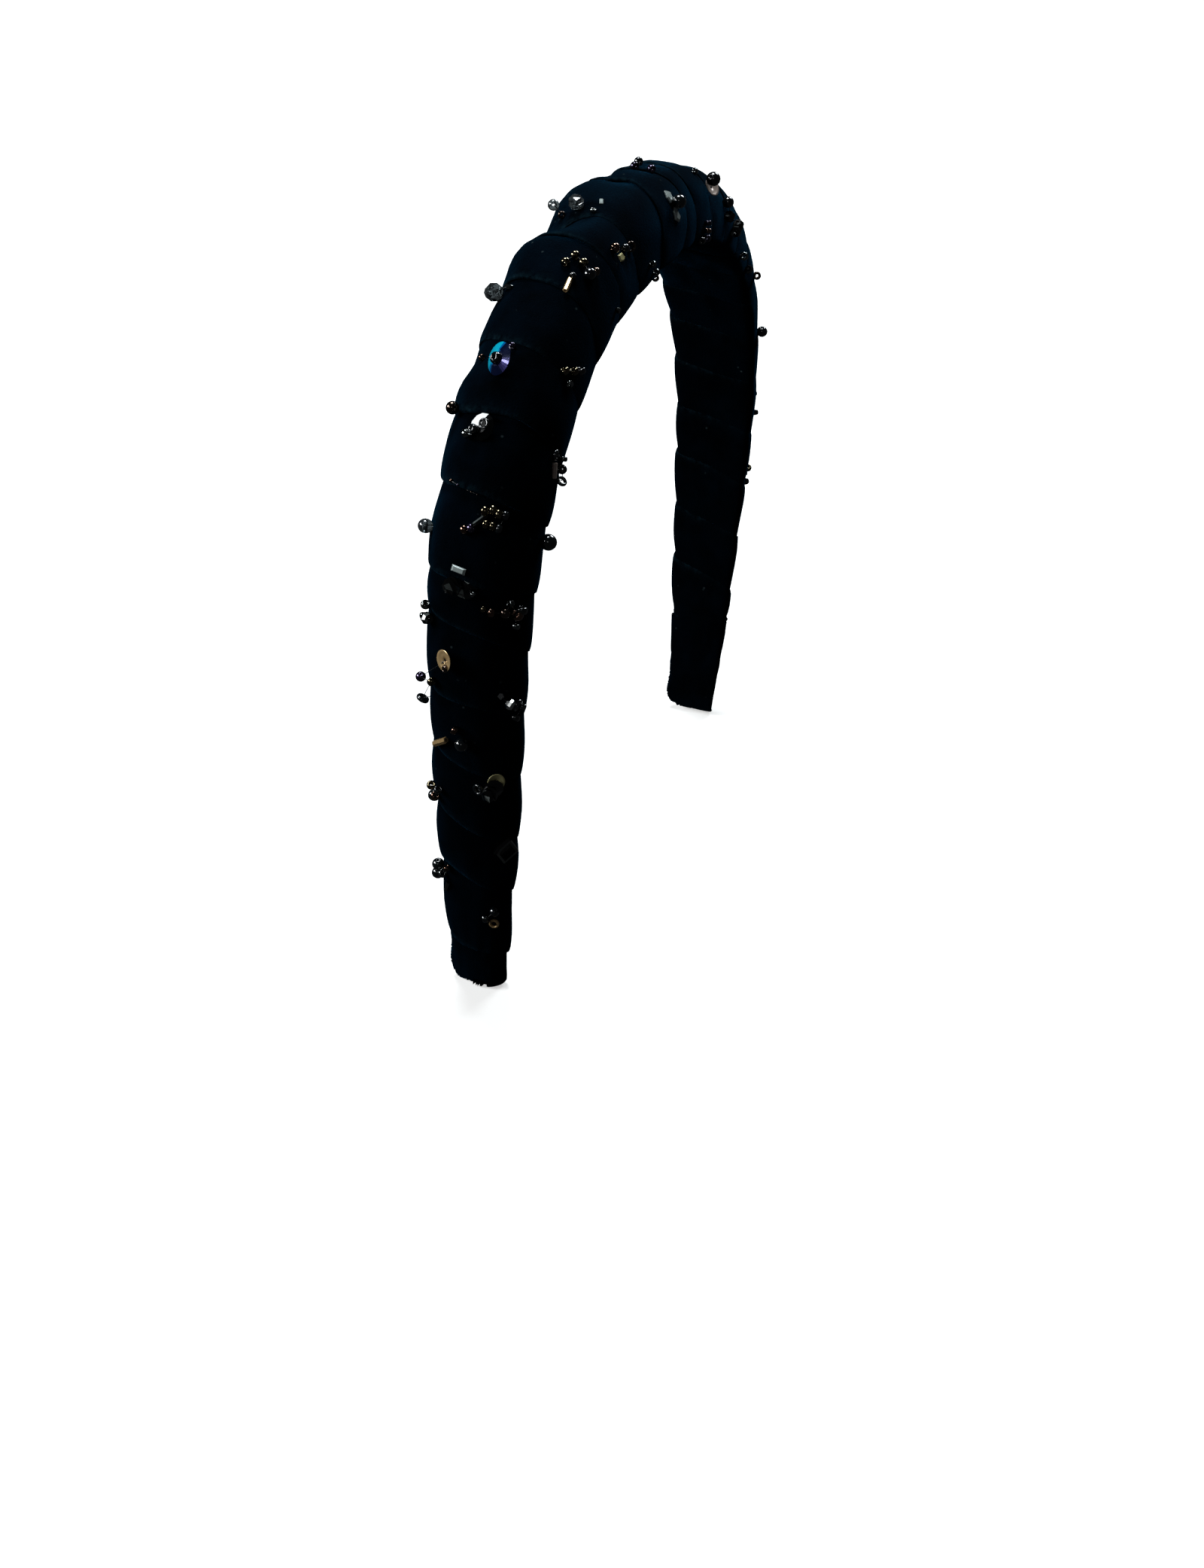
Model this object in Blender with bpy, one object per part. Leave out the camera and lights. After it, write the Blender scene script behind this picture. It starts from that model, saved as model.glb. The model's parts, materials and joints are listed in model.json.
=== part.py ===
"""Padded velvet headband with hand-sewn clusters of beads, bugles, crystals and sequins.

Frame: the origin is the middle of the crown's inner face, +Z is up and the wearer faces -Y,
so +X is the wearer's left. A place on the band is given by two lengths in millimetres:
`along`, the distance from the crown's middle along the inner face, positive on the wearer's
left, and `across`, the distance over the padded outside from its centre line, positive to
the back. The springy band is one strip that flexes; it is cut here at two shoulder hinges.
"""

import math

import bmesh
import bpy
import numpy as np
from mathutils import Matrix, Vector

MM = 0.001

# Driving dimensions of the arch, which is the line of the inner face, in millimetres.
ARCH_HALF_WIDTH = 72.8
ARCH_DROP = 68.0
TIP_HALF_WIDTH = 68.7
ARCH_HEIGHT = 142.4
ARCH_EXPONENT = 2.19
ARCH_STEPS = 400

# The padded section: front to back width, thickness, and how square its shoulders are.
CROWN_WIDTH = 25.0
TIP_WIDTH = 13.0
CROWN_THICKNESS = 16.6
TIP_THICKNESS = 5.3
THICKNESS_FALL = 1.3
SIDE_POWER = 0.75
TOP_POWER = 0.85
SECTION_SIDES = 10

# Layers, from the head outwards.
VELVET = 1.0
GAP = 0.3
FOAM_GAP = 0.5
CORE_THICKNESS = 1.8
CORE_SIDE_INSET = 2.6
CORE_TIP_INSET = 1.6
FOAM_LEAST_THICKNESS = 6.6
TAB_LENGTH = 7.2

# Shoulder hinges, where the flexing of the band is gathered.
HINGE_ALONG = 46.0
HINGE_HALF_GAP = 0.4
HINGE_LEAN = math.radians(5.6)

# Embroidery sizes, in millimetres: radius and full height or length.
SEED = (1.2, 1.7)
ROUND = (1.45, 2.6)
RING = (1.4, 1.2)
CUT = (1.4, 2.2)
CRYSTAL = (2.0, 3.2)
CHIP = (1.5, 0.9)
BUGLE = (0.85, 4.6)
SEQUIN = (2.75, 0.4)
PAILLETTE = (3.2, 0.5)
BEAD_CLEARANCE = 0.35
THREAD_RADIUS = 0.3

# Each cluster: its glass or metal, then its pieces as (kind, along, across) or, where a
# piece lies on another or is turned, (kind, along, across, lift, turn in degrees).
CROWN_CLUSTERS = {
    "back_seed_pair": ("black_glass", [("seed", -14, 9.5), ("seed", -17, 8)]),
    "crystal_and_bugle": (
        "black_crystal",
        [("crystal", -14, 4), ("seed", -16.5, 0), ("bugle", -13, -1.5, 0, 80)],
    ),
    "top_seed_trio": (
        "black_glass",
        [("seed", 10, 2.5), ("seed", 8, 1), ("seed", 9, -1.5)],
    ),
    "round_bead_and_chips": (
        "silver_glass",
        [("chip", 2, -10), ("round", 4.5, -12), ("chip", 2, -14.5)],
    ),
    "bronze_sequin": ("bronze", [("sequin", 30, -9), ("round", 31.5, -8, 1.2, 0)]),
    "front_crystals": (
        "black_crystal",
        [("round", 41, -9.5), ("cut", 40.5, -13.5), ("cut", 42.5, -15.5), ("cut", 40, -17)],
    ),
    "purple_seed_column": (
        "purple_glass",
        [("seed", 22.5, -19), ("seed", 22.5, -21), ("seed", 17.5, -21), ("seed", 20, -20)],
    ),
    "gold_seed_ring": (
        "gold_glass",
        [
            ("seed", -31.5, -3.5),
            ("seed", -33.5, -2.5),
            ("seed", -36, -5),
            ("bugle", -39, -5, 0, 30),
            ("seed", -34.5, -7),
            ("seed", -32.5, -8.5),
            ("seed", -31.5, -6),
        ],
    ),
    "small_bronze_sequin": (
        "bronze",
        [("cut", -24.5, -9.5), ("seed", -21.5, -11), ("ring", -19, -12.5), ("seed", -24, -12)],
    ),
    "shoulder_crystal": ("black_crystal", [("crystal", -40, 11), ("bugle", -37.5, 9, 0, 60)]),
}
RIGHT_CLUSTERS = {
    "blue_sequin": (
        "blue_iridescent",
        [
            ("seed", -52.5, 0.5),
            ("paillette", -54.5, 2.5),
            ("ring", -54.5, 2.5, 0.9, 0),
            ("seed", -53.5, 9),
        ],
    ),
    "shoulder_front_seeds": (
        "silver_glass",
        [("seed", -52.5, -12), ("seed", -51.5, -14.5), ("seed", -53.5, -15.5)],
    ),
    "striped_bronze_bead": ("bronze", [("round", -62.5, 11.5)]),
    "silver_sequin": (
        "silver",
        [("sequin", -66.5, 1.5), ("ring", -66.5, 1.5, 0.8, 0), ("seed", -68.5, 3.5, 0.6, 0)],
    ),
    "copper_bugle_group": (
        "copper_glass",
        [("seed", -66.5, -17), ("bugle", -68.5, -18.5, 0, 20), ("ring", -69, -21)],
    ),
    "gold_seed_group": (
        "gold_glass",
        [
            ("round", -82.5, 0.5),
            ("bugle", -80.5, -1.5, 0, 55),
            ("seed", -78.5, -3.5),
            ("seed", -78.5, -5.5),
            ("seed", -81, -4.5),
            ("seed", -80.5, -6.5),
        ],
    ),
    "back_round_bead": ("black_glass", [("round", -83, 12)]),
    "faceted_crystal": (
        "black_crystal",
        [("chip", -88.5, 1.5), ("crystal", -91.5, 1.5), ("seed", -92.5, -1.5)],
    ),
    "back_crystal_trio": (
        "black_crystal",
        [("cut", -97, 11), ("cut", -99.5, 9.5), ("cut", -99, 12)],
    ),
    "copper_seed_group": (
        "copper_glass",
        [
            ("seed", -95, -5),
            ("seed", -95.5, -7),
            ("seed", -94.5, -9.5),
            ("seed", -96, -11.5),
            ("seed", -98, -12),
        ],
    ),
    "gold_sequin": ("gold", [("sequin", -105, 2.5), ("seed", -105, 2.5, 0.9, 0)]),
    "hanging_ring_bead": (
        "purple_glass",
        [("seed", -111, 6.5), ("round", -112, 10), ("ring", -116.5, 10)],
    ),
    "silver_bead_group": (
        "silver_glass",
        [("seed", -112.5, -9.5), ("cut", -114, -11.5), ("seed", -116, -13), ("seed", -118, -12)],
    ),
    "tilted_bugle": (
        "silver_glass",
        [("seed", -120, 1), ("seed", -123, 0), ("bugle", -124.5, 4.5, 0, 40)],
    ),
    "yellow_sequin": (
        "gold",
        [("cut", -133.5, -3.5), ("crystal", -134.5, -6.5), ("chip", -130.5, -8)],
    ),
    "back_bead_quartet": (
        "black_glass",
        [("round", -137.5, 8.5), ("seed", -140, 9), ("seed", -139, 6.5), ("seed", -136, 6.5)],
    ),
    "square_crystal": ("black_crystal", [("crystal", -150, -9)]),
    "back_crystal_cluster": (
        "black_crystal",
        [("cut", -157, 8), ("cut", -159.5, 8), ("seed", -158, 6), ("bugle", -161.5, 6.5, 0, 20)],
    ),
    "tip_gold_ring": ("gold_glass", [("seed", -165.5, -5.5), ("seed", -167.5, -3.5), ("ring", -170, -5)]),
}
# The wearer's left arm carries the same kinds of cluster: pattern, along, across.
LEFT_PATTERNS = {
    "seed_trio": ("gold_glass", [("seed", 0, 0), ("seed", 1.8, 1.2), ("seed", 3.4, -0.4)]),
    "bugle_and_seeds": (
        "copper_glass",
        [("seed", -2.8, 1.6), ("bugle", 0, 0, 0, 35), ("seed", 2.8, -1.8)],
    ),
    "sequin_and_ring": ("silver", [("sequin", 0, 0), ("ring", 0, 0, 0.8, 0)]),
    "crystal_and_seed": ("black_crystal", [("crystal", 0, 0), ("seed", 3, 1.2)]),
    "round_bead": ("black_glass", [("round", 0, 0)]),
}
LEFT_PLACES = {
    "upper_crystal": ("crystal_and_seed", 54, 6),
    "front_seeds": ("seed_trio", 60, -12),
    "upper_sequin": ("sequin_and_ring", 66, 1),
    "back_round_bead": ("round_bead", 70, 14),
    "upper_bugle": ("bugle_and_seeds", 77, -4),
    "front_round_bead": ("round_bead", 84, -14),
    "middle_crystal": ("crystal_and_seed", 90, 3),
    "back_seeds": ("seed_trio", 98, 10),
    "middle_bugle": ("bugle_and_seeds", 104, -7),
    "middle_sequin": ("sequin_and_ring", 113, 1),
    "lower_seeds": ("seed_trio", 121, -8),
    "lower_crystal": ("crystal_and_seed", 130, 6),
    "lower_bugle": ("bugle_and_seeds", 140, -3),
    "lower_sequin": ("sequin_and_ring", 150, 3),
    "tip_seeds": ("seed_trio", 159, -5),
    "tip_round_bead": ("round_bead", 168, 3),
}

# Colour, roughness and metallic value of each material.
FINISHES = {
    "velvet": ((0.004, 0.008, 0.014, 1), 0.9, 0.0),
    "foam": ((0.75, 0.72, 0.66, 1), 0.95, 0.0),
    "band_plastic": ((0.02, 0.02, 0.02, 1), 0.45, 0.0),
    "black_glass": ((0.01, 0.012, 0.016, 1), 0.1, 0.0),
    "black_crystal": ((0.02, 0.025, 0.03, 1), 0.05, 0.2),
    "purple_glass": ((0.09, 0.04, 0.16, 1), 0.12, 0.1),
    "silver_glass": ((0.55, 0.56, 0.57, 1), 0.15, 0.7),
    "gold_glass": ((0.55, 0.42, 0.22, 1), 0.18, 0.6),
    "copper_glass": ((0.42, 0.22, 0.14, 1), 0.2, 0.6),
    "bronze": ((0.32, 0.2, 0.15, 1), 0.25, 0.8),
    "blue_iridescent": ((0.05, 0.3, 0.7, 1), 0.15, 0.8),
    "silver": ((0.75, 0.76, 0.76, 1), 0.15, 1.0),
    "gold": ((0.72, 0.58, 0.33, 1), 0.22, 0.9),
}


def arch_line():
    """Lengths along the inner face from the crown to one tip, with x and z at each."""
    turn = np.linspace(0, math.pi / 2, ARCH_STEPS)
    power = 2 / ARCH_EXPONENT
    round_x = ARCH_HALF_WIDTH * np.sin(turn) ** power
    round_z = -ARCH_DROP * (1 - np.clip(np.cos(turn), 0, 1) ** power)
    down = np.linspace(0, 1, ARCH_STEPS)[1:]
    leg_x = ARCH_HALF_WIDTH - (ARCH_HALF_WIDTH - TIP_HALF_WIDTH) * down**2
    leg_z = -ARCH_DROP - (ARCH_HEIGHT - ARCH_DROP) * down
    x = np.concatenate([round_x, leg_x])
    z = np.concatenate([round_z, leg_z])
    length = np.concatenate([[0], np.cumsum(np.hypot(np.diff(x), np.diff(z)))])
    return length, x, z


ARCH_LENGTH, ARCH_X, ARCH_Z = arch_line()
TIP_ALONG = float(ARCH_LENGTH[-1])


def arch_point(along):
    side = math.copysign(1, along)
    x = side * np.interp(abs(along), ARCH_LENGTH, ARCH_X)
    return Vector((x, 0, np.interp(abs(along), ARCH_LENGTH, ARCH_Z)))


def outward(along):
    """The unit direction away from the head at this place on the arch."""
    step = 0.5
    ahead = arch_point(min(along + step, TIP_ALONG))
    behind = arch_point(max(along - step, -TIP_ALONG))
    run = (ahead - behind).normalized()
    return Vector((-run.z, 0, run.x))


def band_width(along):
    share = abs(along) / TIP_ALONG
    return CROWN_WIDTH - (CROWN_WIDTH - TIP_WIDTH) * (share + 2 * share**2) / 3


def band_thickness(along):
    fall = 0.5 + 0.5 * math.cos(math.pi * (abs(along) / TIP_ALONG) ** THICKNESS_FALL)
    return TIP_THICKNESS + (CROWN_THICKNESS - TIP_THICKNESS) * fall


def dome(width, base, top, angle):
    """(y, height) on a flat-bottomed rounded section, angle -90 to 90 degrees across it."""
    sine, cosine = math.sin(angle), max(math.cos(angle), 0)
    y = width / 2 * math.copysign(abs(sine) ** SIDE_POWER, sine)
    return y, base + (top - base) * cosine**TOP_POWER


def dome_outline(width, base, top, floor=None):
    """The rounded section from one side to the other, cut off flat at floor if one is given."""
    rise = 0 if floor is None else (floor - base) / (top - base)
    reach = math.acos(rise ** (1 / TOP_POWER))
    turns = (reach * (2 * i / SECTION_SIDES - 1) for i in range(SECTION_SIDES + 1))
    return [dome(width, base, top, turn) for turn in turns]


def velvet_outside(along):
    return dome_outline(band_width(along), 0, band_thickness(along))


def velvet_inside(along):
    return dome_outline(
        band_width(along) - 2 * VELVET, VELVET, band_thickness(along) - VELVET
    )


def foam_outline(along):
    inset = VELVET + FOAM_GAP
    core_top = VELVET + GAP + CORE_THICKNESS + GAP
    top = band_thickness(along) - inset
    return dome_outline(band_width(along) - 2 * inset, inset, top, core_top)


def core_outline(along):
    half = band_width(along) / 2 - CORE_SIDE_INSET
    low = VELVET + GAP
    high = low + CORE_THICKNESS
    return [(-half, low), (-half, high), (half, high), (half, low)]


def ring_of(outline, along, lean=0.0):
    """The outline's points in space, in its plane square to the arch, leaned along it."""
    away = Matrix.Rotation(lean, 3, "Y") @ outward(along)
    foot = arch_point(along)
    return [(foot + away * height + Vector((0, y, 0))) * MM for y, height in outline]


def cut_lean(along):
    """The lean of a section that ends at a shoulder hinge, so that a V opens outwards."""
    from_hinge = abs(along) - HINGE_ALONG
    if abs(from_hinge) > 2 * HINGE_HALF_GAP:
        return 0.0
    return math.copysign(HINGE_LEAN, along) * math.copysign(1, from_hinge)


def rings_along(outline_at, places):
    return [ring_of(outline_at(along), along, cut_lean(along)) for along in places]


def add_loft(mesh, rings, flip=False):
    """Adds the wall through these rings and returns its rows of vertices."""
    rows = [[mesh.verts.new(point) for point in ring] for ring in rings]
    count = len(rows[0])
    for first, second in zip(rows, rows[1:]):
        for i in range(count):
            j = (i + 1) % count
            corners = (first[i], first[j], second[j], second[i])
            mesh.faces.new(corners[::-1] if flip else corners)
    return rows


def bridge(mesh, outer, inner):
    count = len(outer)
    for i in range(count):
        j = (i + 1) % count
        mesh.faces.new((outer[i], outer[j], inner[j], inner[i]))


def solid_bar(outline_at, places):
    mesh = bmesh.new()
    rows = add_loft(mesh, rings_along(outline_at, places))
    mesh.faces.new(rows[0])
    mesh.faces.new(rows[-1])
    return mesh


def open_tube(outer_at, inner_at, places):
    """A sleeve that is open at both ends."""
    mesh = bmesh.new()
    outer = add_loft(mesh, rings_along(outer_at, places))
    inner = add_loft(mesh, rings_along(inner_at, places), flip=True)
    bridge(mesh, outer[0], inner[0])
    bridge(mesh, outer[-1], inner[-1])
    return mesh


def pocket(outer_at, inner_at, places, wall):
    """A sleeve closed at its last place by a wall."""
    mesh = bmesh.new()
    outer = add_loft(mesh, rings_along(outer_at, places))
    last = places[-1] - math.copysign(wall, places[-1])
    inner = add_loft(mesh, rings_along(inner_at, places[:-1] + [last]), flip=True)
    bridge(mesh, outer[0], inner[0])
    mesh.faces.new(outer[-1])
    mesh.faces.new(inner[-1])
    return mesh


def make_material(name):
    colour, roughness, metallic = FINISHES[name]
    material = bpy.data.materials.new(name)
    material.use_nodes = True
    shader = material.node_tree.nodes["Principled BSDF"]
    shader.inputs["Base Color"].default_value = colour
    shader.inputs["Roughness"].default_value = roughness
    shader.inputs["Metallic"].default_value = metallic
    material.diffuse_color = colour
    return material


def make_object(name, mesh, material, parent, place):
    """A named object with its origin at place, from a bmesh with its points in space."""
    bmesh.ops.recalc_face_normals(mesh, faces=mesh.faces)
    bmesh.ops.translate(mesh, verts=mesh.verts, vec=-place)
    data = bpy.data.meshes.new(name)
    mesh.to_mesh(data)
    mesh.free()
    data.materials.append(material)
    data.shade_smooth()
    data.set_sharp_from_angle(angle=math.radians(35))
    thing = bpy.data.objects.new(name, data)
    bpy.context.scene.collection.objects.link(thing)
    thing.location = place - parent.location
    thing.parent = parent
    return thing


def make_empty(name, place):
    empty = bpy.data.objects.new(name, None)
    empty.location = place
    empty.empty_display_size = 0.01
    bpy.context.scene.collection.objects.link(empty)
    return empty


def places_between(start, end, steps):
    return [start + (end - start) * i / steps for i in range(steps + 1)]


def foam_end():
    """The place where the padding has thinned to nothing worth keeping."""
    along = HINGE_ALONG
    while band_thickness(along) > FOAM_LEAST_THICKNESS:
        along += 1
    return along


def padded_lengths():
    """For the crown and each arm: the places of its wrap, foam and core sections."""
    near = HINGE_ALONG - HINGE_HALF_GAP
    far = HINGE_ALONG + HINGE_HALF_GAP
    half_crown = [4.0, 13.0, 22.0, 30.0, 38.0, near]
    crown = [-along for along in reversed(half_crown)] + half_crown
    wrap = places_between(far, TIP_ALONG - TAB_LENGTH - GAP, 13)
    foam = places_between(far, foam_end(), 10)
    core = places_between(far, TIP_ALONG - CORE_TIP_INSET, 13)
    lengths = {"crown": (crown, crown, crown)}
    for side, sign in (("left", 1), ("right", -1)):
        arm = tuple([sign * along for along in places] for places in (wrap, foam, core))
        lengths[f"{side}_arm"] = arm
    return lengths


def build_band(parents, materials):
    for body, (wrap, foam, core) in padded_lengths().items():
        parent = parents[body]
        sleeve = open_tube(velvet_outside, velvet_inside, wrap)
        make_object(f"velvet_wrap_{body}", sleeve, materials["velvet"], parent, parent.location)
        pad = solid_bar(foam_outline, foam)
        make_object(f"foam_pad_{body}", pad, materials["foam"], parent, parent.location)
        strip = solid_bar(core_outline, core)
        make_object(f"band_core_{body}", strip, materials["band_plastic"], parent, parent.location)
    for side, sign in (("left", 1), ("right", -1)):
        parent = parents[f"{side}_arm"]
        places = [sign * (TIP_ALONG - part * TAB_LENGTH) for part in (1, 0.5, 0)]
        tab = pocket(velvet_outside, velvet_inside, places, VELVET)
        name = f"velvet_end_tab_{side}"
        make_object(name, tab, materials["velvet"], parent, parent.location)


def across_table(along):
    """Lengths over the section from its centre line, with the section angle at each."""
    angles = np.radians(np.arange(-90, 91, 3))
    width, thickness = band_width(along), band_thickness(along)
    points = np.array([dome(width, 0, thickness, float(angle)) for angle in angles])
    steps = np.hypot(*np.diff(points, axis=0).T)
    lengths = np.concatenate([[0], np.cumsum(steps)])
    return lengths - lengths[len(lengths) // 2], angles


def surface_point(along, across):
    angle = float(np.interp(across, *across_table(along)))
    y, height = dome(band_width(along), 0, band_thickness(along), angle)
    return arch_point(along) + outward(along) * height + Vector((0, y, 0))


def surface_frame(along, across):
    """A point on the velvet and its axes: along the band, across it, and out of it."""
    reach = 0.6
    run = surface_point(along + reach, across) - surface_point(along - reach, across)
    side = surface_point(along, across + reach) - surface_point(along, across - reach)
    out = side.cross(run).normalized()
    middle = surface_point(along, across)
    if out.dot(middle - arch_point(along)) < 0:
        out.negate()
    run = (run - out * run.dot(out)).normalized()
    return middle, Matrix((run, out.cross(run), out)).transposed()


def turned(profile, sides):
    """A closed bmesh turned about Z from (radius, height) points, flat at both ends."""
    mesh = bmesh.new()
    rings = []
    for radius, height in profile:
        turns = (2 * math.pi * i / sides for i in range(sides))
        rings.append([Vector((radius * math.cos(a), radius * math.sin(a), height)) for a in turns])
    rows = add_loft(mesh, rings)
    mesh.faces.new(rows[0])
    mesh.faces.new(rows[-1])
    return mesh


def bead_solid(kind):
    """A bead about its own centre, its hole or its face along Z, and its half height."""
    if kind in ("seed", "round", "ring"):
        radius, height = {"seed": SEED, "round": ROUND, "ring": RING}[kind]
        half = height / 2
        flat = radius * 0.55
        return turned([(flat, -half), (radius, 0), (flat, half)], 6), half
    if kind in ("cut", "crystal"):
        radius, height = {"cut": CUT, "crystal": CRYSTAL}[kind]
        half = height / 2
        flat = radius * 0.4
        return turned([(flat, -half), (radius, 0), (flat, half)], 6), half
    if kind == "chip":
        radius, height = CHIP
        return turned([(radius, -height / 2), (radius, height / 2)], 4), height / 2
    if kind == "bugle":
        radius, length = BUGLE
        tube = turned([(radius, -length / 2), (radius, length / 2)], 6)
        bmesh.ops.rotate(tube, verts=tube.verts, matrix=Matrix.Rotation(math.pi / 2, 3, "Y"))
        return tube, radius
    radius, height = {"sequin": SEQUIN, "paillette": PAILLETTE}[kind]
    return turned([(radius, -height / 2), (radius, height / 2)], 10), height / 2


def place_bead(piece):
    """The bead's bmesh in space, in metres, and its middle in millimetres."""
    kind, along, across, lift, turn = (*piece, 0, 0)[:5]
    mesh, half = bead_solid(kind)
    foot, axes = surface_frame(along, across)
    middle = foot + axes.col[2] * (half + BEAD_CLEARANCE + lift)
    spin = axes @ Matrix.Rotation(math.radians(turn), 3, "Z")
    for vert in mesh.verts:
        vert.co = (middle + spin @ vert.co) * MM
    return mesh, middle


def thread_between(start, end):
    """A three-sided length of sewing thread, in metres."""
    run = end - start
    mesh = turned([(THREAD_RADIUS, 0), (THREAD_RADIUS, run.length)], 3)
    aim = run.to_track_quat("Z", "Y").to_matrix()
    for vert in mesh.verts:
        vert.co = (start + aim @ vert.co) * MM
    return mesh


def merged(meshes):
    whole = bmesh.new()
    for mesh in meshes:
        data = bpy.data.meshes.new("part_of_cluster")
        bmesh.ops.recalc_face_normals(mesh, faces=mesh.faces)
        mesh.to_mesh(data)
        mesh.free()
        whole.from_mesh(data)
        bpy.data.meshes.remove(data)
    return whole


def build_cluster(name, pieces, material, parent):
    """Beads joined into one body by their thread: a Boolean union with a hidden helper."""
    beads = [place_bead(piece) for piece in pieces]
    middles = [middle for _, middle in beads]
    first = beads[0][0]
    others = [mesh for mesh, _ in beads[1:]]
    others += [thread_between(a, b) for a, b in zip(middles, middles[1:])]
    place = middles[0] * MM
    cluster = make_object(name, first, material, parent, place)
    if not others:
        return
    helper = make_object(f"{name}_joined", merged(others), material, parent, place)
    helper.hide_render = True
    helper.display_type = "WIRE"
    union = cluster.modifiers.new("beads_on_thread", "BOOLEAN")
    union.operation = "UNION"
    union.solver = "EXACT"
    union.use_self = True
    union.object = helper


def left_clusters():
    """The left arm's clusters, each a pattern moved to its place."""
    clusters = {}
    for name, (pattern, along, across) in LEFT_PLACES.items():
        finish, pieces = LEFT_PATTERNS[pattern]
        moved = [(kind, along + a, across + b, *rest) for kind, a, b, *rest in pieces]
        clusters[name] = (finish, moved)
    return clusters


def build_embroidery(parents, materials):
    groups = (
        ("crown", "crown", CROWN_CLUSTERS),
        ("right", "right_arm", RIGHT_CLUSTERS),
        ("left", "left_arm", left_clusters()),
    )
    for prefix, body, clusters in groups:
        for name, (finish, pieces) in clusters.items():
            build_cluster(f"{prefix}_{name}", pieces, materials[finish], parents[body])


def hinge_point(side):
    """The middle of the plastic core at the shoulder, where it flexes."""
    depth = VELVET + GAP + CORE_THICKNESS / 2
    along = side * HINGE_ALONG
    return (arch_point(along) + outward(along) * depth) * MM


def clear_scene():
    for thing in list(bpy.data.objects):
        bpy.data.objects.remove(thing)


def main():
    clear_scene()
    materials = {name: make_material(name) for name in FINISHES}
    parents = {
        "crown": make_empty("crown_origin", Vector((0, 0, 0))),
        "left_arm": make_empty("left_shoulder_hinge", hinge_point(1)),
        "right_arm": make_empty("right_shoulder_hinge", hinge_point(-1)),
    }
    build_band(parents, materials)
    build_embroidery(parents, materials)


main()
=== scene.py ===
"""Looks of the padded velvet headband: the wound velvet, its raw end tabs and the sewn beads.

Places are given as in the CAD source, in millimetres: `along` the inner face from the crown's
middle, positive on the wearer's left, and `across` the padded outside from its centre line,
positive to the back. The velvet is one long strip wound from the right tip to the left tip, so
each turn's folded edge faces the right tip and lies over the turn before it.
"""

import json
import math
from collections import namedtuple

import bmesh
import bpy
import numpy as np
from mathutils import Matrix, Vector
from mathutils.bvhtree import BVHTree

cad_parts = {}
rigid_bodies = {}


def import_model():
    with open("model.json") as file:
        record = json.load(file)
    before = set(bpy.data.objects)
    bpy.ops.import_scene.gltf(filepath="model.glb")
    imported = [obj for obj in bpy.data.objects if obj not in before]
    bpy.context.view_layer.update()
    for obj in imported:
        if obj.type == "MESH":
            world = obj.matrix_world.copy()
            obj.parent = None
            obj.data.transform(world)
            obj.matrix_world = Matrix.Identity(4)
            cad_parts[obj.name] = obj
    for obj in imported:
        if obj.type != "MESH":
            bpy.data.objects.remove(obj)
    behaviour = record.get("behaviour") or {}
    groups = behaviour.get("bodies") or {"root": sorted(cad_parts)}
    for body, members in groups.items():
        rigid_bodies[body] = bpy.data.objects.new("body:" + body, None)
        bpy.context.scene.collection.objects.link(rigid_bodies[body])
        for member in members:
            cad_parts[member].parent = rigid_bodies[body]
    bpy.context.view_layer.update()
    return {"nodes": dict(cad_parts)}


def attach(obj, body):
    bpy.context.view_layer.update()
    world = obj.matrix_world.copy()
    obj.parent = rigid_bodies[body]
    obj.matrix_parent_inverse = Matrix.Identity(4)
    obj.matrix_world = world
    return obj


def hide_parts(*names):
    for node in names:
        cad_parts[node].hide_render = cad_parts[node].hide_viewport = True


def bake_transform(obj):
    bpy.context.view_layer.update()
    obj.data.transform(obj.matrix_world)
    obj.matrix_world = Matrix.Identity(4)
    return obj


MM = 0.001

# The arch and the padded section, as in the CAD source, in millimetres.
ARCH_HALF_WIDTH = 72.8
ARCH_DROP = 68.0
TIP_HALF_WIDTH = 68.7
ARCH_HEIGHT = 142.4
ARCH_EXPONENT = 2.19
ARCH_STEPS = 400
CROWN_WIDTH = 25.0
TIP_WIDTH = 13.0
CROWN_THICKNESS = 16.6
TIP_THICKNESS = 5.3
THICKNESS_FALL = 1.3
SIDE_POWER = 0.75
TOP_POWER = 0.85

# The stretch between the crown and an arm where beads ride on neither body.
BEND_START = 20.0
BEND_END = 76.0
# A cluster whose first bead is this near past the bend still reaches into it.
CLUSTER_REACH = 4.0

# The grid of points on the padded surface that the ribbon is laid on.
COLUMNS = 144
STATION_STEP = 1.0
CORNER_SOFTNESS = 1.5
BASE_DEPTH = 0.45

# The wound ribbon: its pitch, its fold and how its edges bow over the crown.
PITCH_AT_CROWN = 11.3
PITCH_GAIN = 6.5
PITCH_POWER = 2.2
EDGE_ON_TOP = -6.0
FIRST_TURN = -13
SPLIT_TURN = 1
LAST_TURN = 14
FOLD_RADIUS = 0.3
FOLD_HEIGHT = 0.5
# A low fold is rounded with this share of its height instead.
FOLD_ROUNDNESS = 0.42
# How uneven the folds are, and the share of their height that they lose elsewhere than on top.
FOLD_UNEVEN = 0.14
LOSS_ON_INNER_FACE = 0.45
LOSS_ON_FRONT = 0.75
# The strip's points: round its fold, in degrees, and on from there as shares of a turn.
FOLD_ANGLES = (-90, -55, -20, 15, 50, 90)
STRIP_SHARES = (0.07, 0.16, 0.27, 0.4, 0.54, 0.68, 0.8, 0.9, 0.97, 1.0)
FOLD_HEIGHTS = {
    -12: 0.85, -11: 0.95, -10: 0.4, -9: 0.4, -8: 0.8, -7: 1.0, -6: 1.15, -5: 0.95,
    -4: 0.3, -3: 0.8, -2: 0.8, -1: 0.45, 0: 0.8, 2: 0.6, 3: 0.7, 4: 0.7,
}
TUCK_HEIGHT = 0.1
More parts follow.
